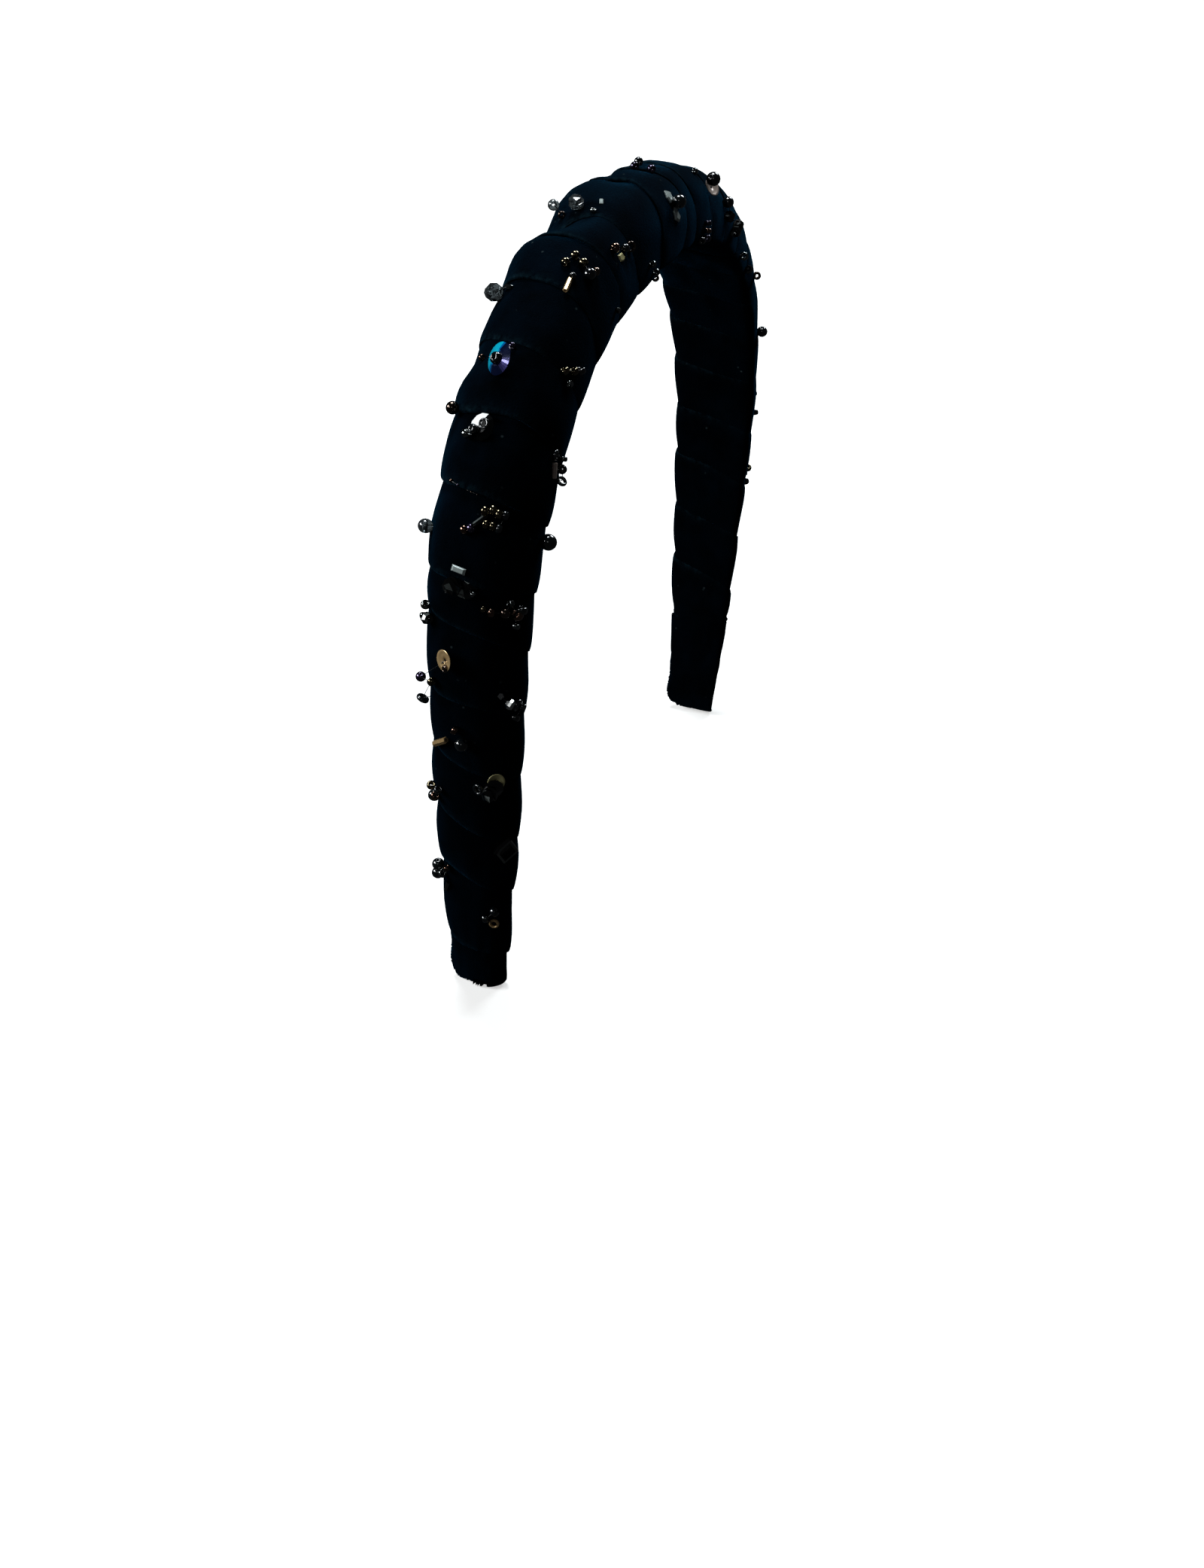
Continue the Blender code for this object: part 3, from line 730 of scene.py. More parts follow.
def ribbon_half(name, first_turn, last_turn):
    """One half of the wound ribbon, as a strip that overlaps itself at every turn."""
    steps = np.arange(first_turn * COLUMNS, last_turn * COLUMNS + 1)
    turns = steps / COLUMNS
    column = steps % COLUMNS
    edge, pitch = fold_edge(turns), fold_edge(turns + 1) - fold_edge(turns)
    lip = fold_height(turns)
    radius = np.minimum(FOLD_RADIUS, lip * FOLD_ROUNDNESS)
    # Each strip point holds how far ahead it lies, its height, and its fold value: the painted
    # highlight, strongest on the fold's lip and fading behind it.
    strip = []
    for reach in TURNED_UNDER:
        strip.append((radius + reach, lip - 2 * radius, 0))
    for angle in np.radians(FOLD_ANGLES):
        rise = radius * math.sin(angle)
        strip.append((radius * (1 - math.cos(angle)), lip - radius + rise, 1))
    for share in STRIP_SHARES:
        swell = TURN_SWELL * math.sin(math.pi * share**0.8)
        rise = TUCK_HEIGHT + (lip - TUCK_HEIGHT) * (1 - share**1.6) + swell
        strip.append((radius + (pitch - radius) * share, rise, math.exp(-share * 24)))
    for reach in TUCKED_IN:
        strip.append((pitch + reach, TUCK_HEIGHT - TUCK_FALL * reach, 0))
    ahead, height, fold = (
        np.stack([value + 0 * turns for value in values], axis=1) for values in zip(*strip)
    )
    # Painted highlight: the folds are painted paler on top and at the back, towards the light, and
    # only 0.3 as pale on the front.
    fold *= 0.3 + 0.7 * ramp(turns % 1, 0.36, 0.2)[:, None]
    along = edge[:, None] + ahead
    around = (turns * PUCKERS_AROUND)[:, None] + 0 * ahead
    repeat = PUCKERS_AROUND * 64
    drape = DRAPE * noise_sheet(around / 2, along / 7, SEED + 2, repeat // 2)
    puckers = PUCKERS * noise_sheet(around, along / 30, SEED + 3, repeat) * np.exp(-ahead / 4)
    height = height - BASE_DEPTH + drape + puckers * np.clip(ahead, 0, 1)
    height += relief(along, turns[:, None])
    covered = ramp(along, RIBBON_END, 4)
    height = height * (1 - covered) - (BASE_DEPTH + COVERED_DEPTH) * covered
    along = np.minimum(along, RIBBON_END + COVERED_REACH)
    points = on_band(along, np.broadcast_to(column[:, None], along.shape), height)
    return grid_object(name, points, {"fold": fold})


def closed_round(grid):
    """The grid with its first column again at the end, so that it closes on itself."""
    return np.concatenate([grid, grid[:, :1]], axis=1)


def grid_object(name, points, values=None):
    """A mesh of quads from rows of points in millimetres, with named values at each point."""
    rows, width = points.shape[:2]
    index = np.arange(rows * width).reshape(rows, width)
    faces = np.stack([index[:-1, :-1], index[1:, :-1], index[1:, 1:], index[:-1, 1:]], -1)
    return mesh_object(name, points.reshape(-1, 3), faces.reshape(-1, 4).tolist(), values)


def mesh_object(name, points, faces, values=None):
    """A smooth mesh from points in millimetres, with named values at its points or faces."""
    mesh = bpy.data.meshes.new(name)
    mesh.from_pydata((np.asarray(points) * MM).tolist(), [], faces)
    for key, numbers in (values or {}).items():
        numbers = np.asarray(numbers, np.float32).ravel()
        domain = "POINT" if len(numbers) == len(mesh.vertices) else "FACE"
        mesh.attributes.new(key, "FLOAT", domain).data.foreach_set("value", numbers)
    mesh.shade_smooth()
    mesh.update()
    thing = bpy.data.objects.new(name, mesh)
    bpy.context.scene.collection.objects.link(thing)
    return thing


# ---------------------------------------------------------------- the raw end tabs


def tab_end(y, seed):
    """How far along the tab's raw edge is at each y: cut a little askew, and frayed."""
    rng = np.random.default_rng(seed)
    askew = TIP_ALONG + 0.2 - 0.16 * y - 1.0 * np.clip(y - 4.0, 0, None)
    return askew + FRAY * rng.uniform(-1, 1, len(y)) + 0.35 * noise_line(y * 0.8 + 50, seed)


def end_tab(name, side, seed):
    """The velvet pocket over a tip: two layers that are cut raw at the end."""
    column = np.arange(COLUMNS)
    loop = soft_section(TIP_ALONG)
    end = tab_end(loop[:, 0], seed)
    rng = np.random.default_rng(seed + 1)
    # The rows are closer together near the raw edge.
    shares = np.concatenate([np.linspace(0, 0.7, 15)[:-1], np.linspace(0.7, 1, 22)])
    lip = 0.0 if side < 0 else FOLD_HEIGHT
    rows, rims = [], []
    for share in shares:
        along = TAB_LAP + (end - TAB_LAP) * share
        near_tip = ramp(along, TIP_ALONG - TAB_TAPER, TAB_TAPER)
        height = -TAB_DEPTH + lip * (1 - share) ** 2 * 0.9 + 0 * along
        ragged = ramp(along, TIP_ALONG - RAGGED_LENGTH, 3) * hill(loop[:, 0], TIP_WIDTH / 2, 1.2)
        height += RAGGED_SIDE * ragged * rng.uniform(-1, 1, COLUMNS)
        height += 0.12 * noise_sheet(column / 6, along / 3, seed + 2, 24)
        points = on_band(side * along, column, height)
        points[:, 1] *= 1 + TAB_FLARE * near_tip * (points[:, 1] > 0)
        rows.append(pinched(points, side * along, near_tip, 0.0))
        rims.append(np.clip(near_tip * 1.4 - 0.9, 0, 1) ** 2)
    rows.append(pinched(points, side * along, near_tip, TAB_LAYER))
    rims.append(rims[-1])
    rows.append(pinched(points - side_step(side, TAB_MOUTH), side * along, near_tip, TAB_LAYER))
    rims.append(rims[-1] * 0)
    fold = closed_round(np.stack(rims)) * RIM_PALENESS
    tab = grid_object(name, closed_round(np.stack(rows)), {"fold": fold})
    weld(tab)
    return tab


def side_step(side, reach):
    """A step towards the tip on one side, in millimetres."""
    ahead = arch_point(side * TIP_ALONG) - arch_point(side * (TIP_ALONG - 1))
    return np.array(ahead.normalized()) * reach


def pinched(points, along, near_tip, inset):
    """The section's points drawn flat towards the inner face, and inset by a layer."""
    foot = np.array([arch_point(a) for a in along])
    away = np.array([outward(a) for a in along])
    height = ((points - foot) * away).sum(1)
    y = points[:, 1]
    flat = height * (1 - (1 - TAB_PINCH) * near_tip)
    middle = TIP_THICKNESS * TAB_PINCH / 2
    flat = np.where(inset > 0, middle + (flat - middle) * 0.12, flat)
    narrow = np.where(inset > 0, y * (1 - 2 * inset / TIP_WIDTH), y)
    moved = points + away * (flat - height)[:, None]
    moved[:, 1] = narrow
    return moved


def weld(thing):
    """Joins points that lie on one another and faces every normal outwards."""
    mesh = bmesh.new()
    mesh.from_mesh(thing.data)
    bmesh.ops.remove_doubles(mesh, verts=mesh.verts, dist=1e-6)
    bmesh.ops.recalc_face_normals(mesh, faces=mesh.faces)
    mesh.to_mesh(thing.data)
    mesh.free()


# ---------------------------------------------------------------- beads


def lathe(profile, sides, twist=0.0, closed=True):
    """Points and quads of a profile of (radius, height) turned about Z."""
    points, faces = [], []
    for i in range(sides):
        for j, (radius, height) in enumerate(profile):
            angle = 2 * math.pi * (i + twist * (j % 2)) / sides
            points.append((radius * math.cos(angle), radius * math.sin(angle), height))
    count = len(profile)
    for i in range(sides):
        shift = ((i + 1) % sides - i) * count
        for j in range(count if closed else count - 1):
            a, b = i * count + j, i * count + (j + 1) % count
            faces.append((a, a + shift, b + shift, b))
    return points, faces


PLATE_OUTLINES = {
    "chip": [(1.0, 0.5), (-0.15, 0.85), (-1.0, 0.4), (-0.8, -0.6), (0.8, -0.75)],
    "wedge": [(1.0, -0.45), (0.7, 0.5), (-0.2, 1.0), (-1.0, 0.35), (-0.9, -0.6)],
    "slab": [(1.0, 0.42), (-1.0, 0.42), (-1.0, -0.42), (1.0, -0.42)],
    "square": [(1.0, 0.35), (0.75, 0.95), (-0.95, 1.0), (-1.0, -0.9), (0.95, -1.0)],
}
PLATE_LEVELS = ((0.9, -0.5), (1, -0.1), (1, 0.1), (0.7, 0.5))
DISH_LEVELS = ((0.9, -0.5), (1, 0.0), (0.88, 0.5), (0.66, 0.5), (0.55, -0.2))


def ball_profile(radius, height, hole, steps=13):
    """A ball's wall, from the rim of its hole round to the other rim."""
    widest = math.acos(hole / radius)
    angles = [widest * (2 * i / (steps - 1) - 1) for i in range(steps)]
    return [(radius * math.cos(a), height / 2 * math.sin(a) / math.sin(widest)) for a in angles]


def round_profile(radius, height, hole, steps=14, square=0.87):
    """A bead's rounded wall from its hole to its outside, as a closed loop."""
    middle, reach = (radius + hole) / 2, (radius - hole) / 2
    loop = []
    for i in range(steps):
        angle = 2 * math.pi * i / steps
        c, s = math.cos(angle), math.sin(angle)
        out = math.copysign(abs(c) ** square, c)
        up = math.copysign(abs(s) ** square, s)
        loop.append((middle + reach * out, height / 2 * up))
    return loop


def two_sided(upper, middle=()):
    """A bead's profile of (radius, height) from its upper half and any points at its middle."""
    return [(radius, -height) for radius, height in reversed(upper)] + [*middle, *upper]


def bead_shape(kind, size):
    """Points and faces of a kind of bead with its hole along Z, and whether it is smooth."""
    radius, height = (size * number for number in BEAD_SIZES[kind])
    if kind == "round":
        return *lathe(ball_profile(radius, height, radius * 0.22), 24), True
    if kind in ("seed", "ring"):
        hole = radius * {"seed": 0.32, "ring": 0.5}[kind]
        return *lathe(round_profile(radius, height, hole), 20), True
    if kind == "cut":
        upper = [(radius, height * 0.15), (radius * 0.72, height / 2), (radius * 0.3, height / 2)]
        return *lathe(two_sided(upper), 7), False
    if kind == "crystal":
        upper = [(radius * 0.86, height * 0.24), (radius * 0.5, height / 2)]
        upper.append((radius * 0.2, height / 2))
        return *lathe(two_sided(upper, [(radius, 0.0)]), 6, twist=0.5), False
    if kind in PLATE_OUTLINES:
        levels = DISH_LEVELS if kind == "square" else PLATE_LEVELS
        return *plate_shape(PLATE_OUTLINES[kind], levels, radius, height), False
    if kind == "bugle":
        rim = radius * 0.12
        upper = [(radius, height / 2 - rim), (radius - rim, height / 2)]
        upper.append((radius * 0.45, height / 2))
        return *lathe(two_sided(upper), 6), False
    return sequin_shape(kind, radius, height)


def stacked(rings):
    """Points and faces of a solid from rings of points, closed at both ends."""
    count, top = len(rings[0]), len(rings[0]) * (len(rings) - 1)
    faces = [tuple(reversed(range(count))), tuple(range(top, top + count))]
    for start in range(0, top, count):
        for i in range(count):
            a, b = start + i, start + (i + 1) % count
            faces.append((a, b, b + count, a + count))
    return [point for ring in rings for point in ring], faces


def plate_shape(outline, levels, radius, height):
    """A small cut plate, from the corners of its outline and its width at each level."""
    rings = []
    for share, level in levels:
        rings.append([(x * radius * share, y * radius * share, level * height) for x, y in outline])
    return stacked(rings)


def sequin_shape(kind, radius, height):
    """A thin disc with a hole: a smooth cup, or a faceted or coated one with a raised middle."""
    skin = 0.14
    if kind == "sequin":
        levels = [(0.16, 0.0), (0.5, 0.12), (0.8, 0.5), (1.0, 1.0)]
    else:
        levels = [(0.16, 1.0), (0.5, 0.9), (1.0, 0.0)]
    inner = [(radius * share, height * level) for share, level in levels]
    outer = [(r, h - skin) for r, h in reversed(inner)]
    sides = {"sequin": 32, "star": 12, "paillette": 9, "dome": 32}[kind]
    return *lathe(inner + outer, sides), kind == "sequin"


def tilt_of(piece):
    """How far a bead's hole is tipped from the outward axis, in radians."""
    if piece.tilt is not None:
        return math.radians(piece.tilt)
    return math.pi / 2 if piece.kind in LYING_KINDS else 0.0


def bead_axes(axes, piece, thread_run):
    """The bead's own axes: its hole tipped from the outward axis and turned about it."""
    if piece.turn is not None:
        turn = math.radians(piece.turn)
    elif thread_run is not None:
        local = axes.transposed() @ thread_run
        turn = math.atan2(local.y, local.x)
    else:
        turn = 0.0
    tip = Matrix.Rotation(tilt_of(piece), 3, "Y")
    return axes @ Matrix.Rotation(turn, 3, "Z") @ tip


def half_height(piece):
    """How far the bead's middle sits over the velvet, between lying and standing."""
    radius, height = (piece.size * number for number in BEAD_SIZES[piece.kind])
    lying = abs(math.sin(tilt_of(piece)))
    return height / 2 * (1 - lying) + radius * lying


def tube(path, radius, sides=6):
    """Points and faces of a closed round tube along points in millimetres."""
    rings = []
    reference = Vector((0.3, 0.5, 0.8))
    for i, place in enumerate(path):
        run = path[min(i + 1, len(path) - 1)] - path[max(i - 1, 0)]
        side = run.cross(reference).normalized()
        other = run.cross(side).normalized()
        ring = []
        for j in range(sides):
            angle = 2 * math.pi * j / sides
            ring.append(place + side * radius * math.cos(angle) + other * radius * math.sin(angle))
        rings.append(ring)
    return stacked(rings)


def curve_between(start, end, lift, steps=8):
    """Points on an arc from start to end that rises by lift in its middle."""
    path = []
    for i in range(steps + 1):
        share = i / steps
        path.append(start.lerp(end, share) + lift * math.sin(math.pi * share))
    return path


class ClusterMesh:
    """Collects beads and thread into one mesh, with a material for each finish."""

    def __init__(self):
        self.points = []
        self.faces = []
        self.finishes = []
        self.face_finish = []
        self.face_smooth = []
        self.shade = []

    def add(self, points, faces, finish, smooth, shade=0.0):
        start = len(self.points)
        if finish not in self.finishes:
            self.finishes.append(finish)
        self.points += [tuple(point) for point in points]
        self.shade += list(shade) if hasattr(shade, "__len__") else [shade] * len(faces)
        self.faces += [tuple(start + i for i in face) for face in faces]
        self.face_finish += [self.finishes.index(finish)] * len(faces)
        self.face_smooth += [smooth] * len(faces)

    def build(self, name, materials):
        thing = mesh_object(name, self.points, self.faces, {"shade": self.shade})
        for finish in self.finishes:
            thing.data.materials.append(materials[finish])
        thing.data.polygons.foreach_set("material_index", self.face_finish)
        thing.data.polygons.foreach_set("use_smooth", self.face_smooth)
        thing.data.update()
        return thing


def velvet_tree(things):
    """All the velvet as one tree for finding where a bead touches it, in millimetres."""
    points, faces = [], []
    for thing in things:
        start = len(points)
        points += [vert.co / MM for vert in thing.data.vertices]
        faces += [tuple(start + i for i in face.vertices) for face in thing.data.polygons]
    return BVHTree.FromPolygons(points, faces)


def velvet_foot(tree, along, across):
    """The point of the visible velvet at this place, with the band's axes there."""
    foot, axes = surface_frame(along, across)
    out = axes.col[2]
    hit = tree.ray_cast(foot + out * SEARCH_ABOVE, -out, SEARCH_ABOVE + SEARCH_BELOW)[0]
    return (hit or foot), axes


def cluster_object(name, pieces, tree, materials, rng, thread_reach=THREAD_REACH):
    """One sewn cluster: its beads on the velvet and the thread that runs through them."""
    cluster = ClusterMesh()
    feet = [velvet_foot(tree, piece.along, piece.across) for piece in pieces]
    middles = []
    for piece, (foot, axes) in zip(pieces, feet):
        middles.append(foot + axes.col[2] * (half_height(piece) - BEAD_SINK + piece.lift))
    for i, (piece, (foot, axes)) in enumerate(zip(pieces, feet)):
        before, after = middles[max(i - 1, 0)], middles[min(i + 1, len(pieces) - 1)]
        run = after - before if (after - before).length > 0.1 else None
        points, faces, smooth = bead_shape(piece.kind, piece.size)
        spin = bead_axes(axes, piece, run)
        if piece.kind not in PLATE_OUTLINES:
            spin = spin @ Matrix.Rotation(rng.uniform(0, math.pi), 3, "Z")
        placed = [middles[i] + spin @ Vector(point) for point in points]
        shade = bead_shade(piece, placed, faces, middles[i], axes, rng)
        cluster.add(placed, faces, piece.finish, smooth, shade)
    add_thread(cluster, feet, middles, thread_reach)
    return cluster.build(name, materials)


def bead_shade(piece, points, faces, middle, axes, rng):
    """How light a bead is from -1 to 1, as one number or one for each of its faces: a random tone
    for most beads; on the two sequins, by which way each face points, a painted sheen or reflection;
    on the square crystal's rim and a few random facets of black crystals, a painted highlight.
    """
    shade = rng.uniform(-1, 1)
    if piece.finish in ("blue_iridescent", "silver_painted_reflection"):
        shade = facing_shades(points, faces, middle, axes.col[0] * 0.5 + axes.col[1])
    elif piece.kind == "square":
        leans = facing_shades(points, faces, middle, axes.col[2])
        shade = [rng.uniform(-0.95, -0.3) if lean > RIM_LEAN else -1 for lean in leans]
    elif piece.finish == "black_crystal":
        shade = 2 * rng.uniform(0, 1, len(faces)) ** CRYSTAL_CONTRAST - 1
    return shade


def facing_shades(points, faces, middle, direction):
    """How far each face lies towards a direction, from -1 to 1."""
    shades = []
    for face in faces:
        centre = sum((points[i] for i in face), Vector()) / len(face)
        shades.append((centre - middle).normalized().dot(direction.normalized()))
    return shades


def add_thread(cluster, feet, middles, reach):
    """Thread through the beads: seen between those within reach, and else under the velvet."""
    last = len(middles) - 1
    for i, (middle, (foot, axes)) in enumerate(zip(middles, feet)):
        below = foot - axes.col[2] * THREAD_DEPTH
        near = i < last and (middles[i + 1] - middle).length < reach
        near_before = i > 0 and (middles[i - 1] - middle).length < reach
        if near:
            path = curve_between(middle, middles[i + 1], axes.col[2] * THREAD_ARCH)
            cluster.add(*tube(path, THREAD_RADIUS), "thread", True)
        if not (near and near_before):
            path = curve_between(below, middle, axes.col[0] * THREAD_BOW)
            cluster.add(*tube(path, THREAD_RADIUS), "thread", True)


# ---------------------------------------------------------------- materials


class Nodes:
    """A short way to build a material's nodes; a value may be a number or another node's output."""

    def __init__(self, name):
        self.material = bpy.data.materials.new(name)
        self.material.use_nodes = True
        self.tree = self.material.node_tree
        self.shader = self.tree.nodes["Principled BSDF"]

    def node(self, kind, inputs=None, **settings):
        """A new node with its settings and the values of its inputs."""
        node = self.tree.nodes.new(kind)
        for key, value in settings.items():
            setattr(node, key, value)
        for key, value in (inputs or {}).items():
            self.put(node, key, value)
        return node

    def put(self, node, key, value):
        if isinstance(value, bpy.types.NodeSocket):
            self.tree.links.new(value, node.inputs[key])
        else:
            node.inputs[key].default_value = value

    def set(self, **values):
        """Sets inputs of the surface shader, with _ for each space in a name."""
        for key, value in values.items():
            self.put(self.shader, key.replace("_", " "), value)

    def place(self):
        return self.node("ShaderNodeTexCoord").outputs["Object"]

    def noise(self, scale, detail=3.0):
        """Soft noise from 0 to 1 with about this many patches in a metre."""
        inputs = {"Vector": self.place(), "Scale": scale, "Detail": detail, "Roughness": 0.6}
        return self.node("ShaderNodeTexNoise", inputs).outputs["Fac"]

    def spread(self, value, low, high, start=0.0, end=1.0):
        """The value's range from low to high drawn out to run from start to end."""
        inputs = {"Value": value, "From Min": low, "From Max": high, "To Min": start, "To Max": end}
        return self.node("ShaderNodeMapRange", inputs).outputs["Result"]

    def between(self, noise, start, end):
        """The usual range of a noise drawn out to run from start to end."""
        return self.spread(noise, 0.3, 0.7, start, end)

    def math(self, operation, first, second):
        return self.node("ShaderNodeMath", {0: first, 1: second}, operation=operation).outputs[0]

    def mix(self, share, first, second):
        """A colour between two colours."""
        node = self.node("ShaderNodeMix", data_type="RGBA")
        self.put(node, "Factor", share)
        for index, value in ((6, first), (7, second)):
            if isinstance(value, bpy.types.NodeSocket):
                self.tree.links.new(value, node.inputs[index])
            else:
                node.inputs[index].default_value = (*value, 1)
        return node.outputs[2]

    def value_of(self, attribute):
        """The mesh's own value of this name."""
        return self.node("ShaderNodeAttribute", attribute_name=attribute).outputs["Fac"]

    def bump(self, height, strength, distance):
        """Relief in the surface, with its distance in metres."""
        inputs = {"Height": height, "Strength": strength, "Distance": distance}
        self.set(Normal=self.node("ShaderNodeBump", inputs).outputs["Normal"])


def velvet_material():
    """Near-black blue velvet: short pile, brushed patches and a little lint, with paler folds that
    are partly worn pile and partly a painted highlight where the pile turns over into the light; the
    tabs' raw ends are paler too.
    """
    nodes = Nodes("velvet")
    pile = nodes.noise(2600, detail=2)
    brushed = nodes.noise(130, detail=4)
    # Painted highlight: the fold value lightens the folds' lips, broken up by noise; it also paints
    # the tabs' raw ends paler.
    fold = nodes.math("MULTIPLY", nodes.value_of("fold"), nodes.spread(nodes.noise(900), 0.35, 0.7))
    dark, lit = (0.00005, 0.0004, 0.0009), (0.0003, 0.0019, 0.0042)
    fold_highlight_tint, dust_tint = (0.006, 0.019, 0.027), (0.05, 0.07, 0.075)
    colour = nodes.mix(nodes.spread(brushed, 0.35, 0.7), dark, lit)
    colour = nodes.mix(nodes.math("MULTIPLY", fold, 0.55), colour, fold_highlight_tint)
    lint = nodes.node("ShaderNodeTexVoronoi", {"Vector": nodes.place(), "Scale": 420.0})
    specks = nodes.spread(lint.outputs["Distance"], 0.0, 0.16, 1.0, 0.0)
    rare = nodes.spread(nodes.noise(210), 0.58, 0.66)
    dust = nodes.math("MULTIPLY", specks, nodes.math("MULTIPLY", rare, 0.8))
    colour = nodes.mix(dust, colour, dust_tint)
    nodes.set(Base_Color=colour, Roughness=nodes.between(pile, 0.78, 0.95))
    nodes.set(Specular_IOR_Level=0.005)
    nodes.set(Sheen_Weight=0.055, Sheen_Roughness=0.36, Sheen_Tint=(0.03, 0.45, 0.95, 1))
    rough = nodes.math("ADD", pile, nodes.math("MULTIPLY", brushed, 0.8))
    nodes.bump(rough, 0.5, 0.00025)
    return nodes.material


def glass_material(name, dark, lit, roughness, metallic, coat):
    """Cut or round glass: each bead has its own random tone, and faint marks in its gloss; on black
    crystals the light tone is a painted highlight on some facets.
    """
    nodes = Nodes(name)
    shade = nodes.spread(nodes.value_of("shade"), -1.0, 1.0)
    streaks = nodes.noise(1400, detail=2)
    tone = nodes.math("MULTIPLY", shade, nodes.between(streaks, 0.8, 1.2))
    nodes.set(Base_Color=nodes.mix(tone, dark, lit), Metallic=metallic)
    nodes.set(Roughness=nodes.between(streaks, roughness, roughness + 0.06))
    nodes.set(Coat_Weight=coat, Coat_Roughness=0.04)
    return nodes.material


def two_way_material(name, tones, noise_share, metallic, coat, gloss):
    """A sequin whose colour steps across it by which way each face points: a painted sheen over the
    blue coating, and a painted reflection on the silver one.
    """
    nodes = Nodes(name)
    uneven = nodes.math("MULTIPLY", nodes.noise(500), noise_share)
    side = nodes.math("ADD", nodes.value_of("shade"), uneven)
    colour = tones[0][1]
    for start, tone in tones[1:]:
        colour = nodes.mix(nodes.spread(side, start - 0.06, start + 0.06), colour, tone)
    nodes.set(Base_Color=colour, Metallic=metallic)
    nodes.set(Roughness=nodes.between(nodes.noise(900), 0.14, 0.24))
    nodes.set(Coat_Weight=coat, Coat_Roughness=0.03, Specular_IOR_Level=gloss)
    return nodes.material


def grained_material(name, grain_scale, detail, dark, lit, roughness, relief):
    """Dark material whose fine grain shows in its tone, its gloss and its relief."""
    nodes = Nodes(name)
    grain = nodes.noise(grain_scale, detail)
    nodes.set(Base_Color=nodes.mix(grain, dark, lit))
    nodes.set(Roughness=nodes.between(grain, *roughness))
    nodes.bump(grain, *relief)
    return nodes.material


def thread_material():
    """Smoke-grey sewing thread with its twist."""
    dark, lit = (0.002, 0.003, 0.004), (0.012, 0.014, 0.016)
    return grained_material("thread", 2400, 1, dark, lit, (0.3, 0.5), (0.3, 0.00005))


def foam_material():
    """Open-cell padding foam."""
    nodes = Nodes("foam")
    cells = nodes.node("ShaderNodeTexVoronoi", {"Vector": nodes.place(), "Scale": 1500.0})
    distance = cells.outputs["Distance"]
    tone = nodes.math("ADD", distance, nodes.math("MULTIPLY", nodes.noise(60), 0.4))
    nodes.set(Base_Color=nodes.mix(tone, (0.46, 0.42, 0.34), (0.74, 0.71, 0.64)))
    nodes.set(Roughness=nodes.spread(distance, 0.0, 0.6, 0.98, 0.85))
    nodes.bump(distance, 0.6, 0.0003)
    return nodes.material


def plastic_material():
    """The moulded springy strip."""
    dark, lit = (0.012, 0.012, 0.013), (0.03, 0.03, 0.032)
    return grained_material("band_plastic", 1800, 3, dark, lit, (0.34, 0.5), (0.2, 0.0001))


# Where each colour of a sequin starts, from -1 on the side away from the window to 1 on the side
# towards the back and the crown, where the window is.
# Painted sheen over the blue coating's own colours: violet on the far side, dark navy, deep blue,
# and bright cyan towards the window.
IRIDESCENT_PAINTED_SHEEN_TONES = [
    (-1.0, (0.07, 0.06, 0.26)),
    (-0.72, (0.002, 0.006, 0.035)),
    (0.3, (0.0, 0.16, 0.5)),
    (0.5, (0.0, 0.62, 0.9)),
]
# A painted reflection on the silver sequin: pale at the rim away from the window, black, and white
# towards the window.
PAINTED_REFLECTION_TONES = [
    (-1.0, (0.75, 0.77, 0.76)),
    (-0.985, (0.0005, 0.0007, 0.0008)),
    (0.3, (0.85, 0.87, 0.86)),
]
SMOKE_CLEARNESS = 0.75
# Dark and light tone, roughness, metallic value and coat of each plain bead finish.
GLASSES = {
    "black_glass": ((0.001, 0.0015, 0.002), (0.003, 0.005, 0.006), 0.03, 0.0, 1.0),
    # The black crystal's light tone is the painted highlight of its lit facets and rims.
    "black_crystal": ((0.0002, 0.0003, 0.0004), (0.26, 0.3, 0.29), 0.03, 0.0, 0.2),
    "purple_glass": ((0.02, 0.015, 0.035), (0.05, 0.035, 0.085), 0.05, 0.9, 0.8),
    "silver_glass": ((0.08, 0.09, 0.09), (0.2, 0.22, 0.215), 0.05, 1.0, 0.6),
    "gold_glass": ((0.085, 0.066, 0.032), (0.17, 0.14, 0.075), 0.05, 1.0, 0.6),
    "copper_glass": ((0.1, 0.055, 0.035), (0.19, 0.105, 0.07), 0.05, 1.0, 0.6),
    "bronze": ((0.07, 0.048, 0.036), (0.15, 0.105, 0.08), 0.1, 1.0, 0.5),
    "silver": ((0.45, 0.47, 0.47), (0.85, 0.87, 0.85), 0.12, 1.0, 0.4),
    "gold": ((0.38, 0.23, 0.09), (0.62, 0.43, 0.21), 0.2, 0.5, 0.3),
    "pale_gold": ((0.6, 0.55, 0.26), (0.75, 0.7, 0.36), 0.3, 0.1, 0.6),
    "rose_shell": ((0.42, 0.33, 0.28), (0.55, 0.45, 0.39), 0.3, 0.2, 0.3),
    "cloudy_mirror": ((0.3, 0.36, 0.35), (0.42, 0.49, 0.47), 0.3, 0.2, 0.6),
    "smoke_glass": ((0.05, 0.06, 0.065), (0.1, 0.12, 0.125), 0.03, 0.0, 1.0),
}


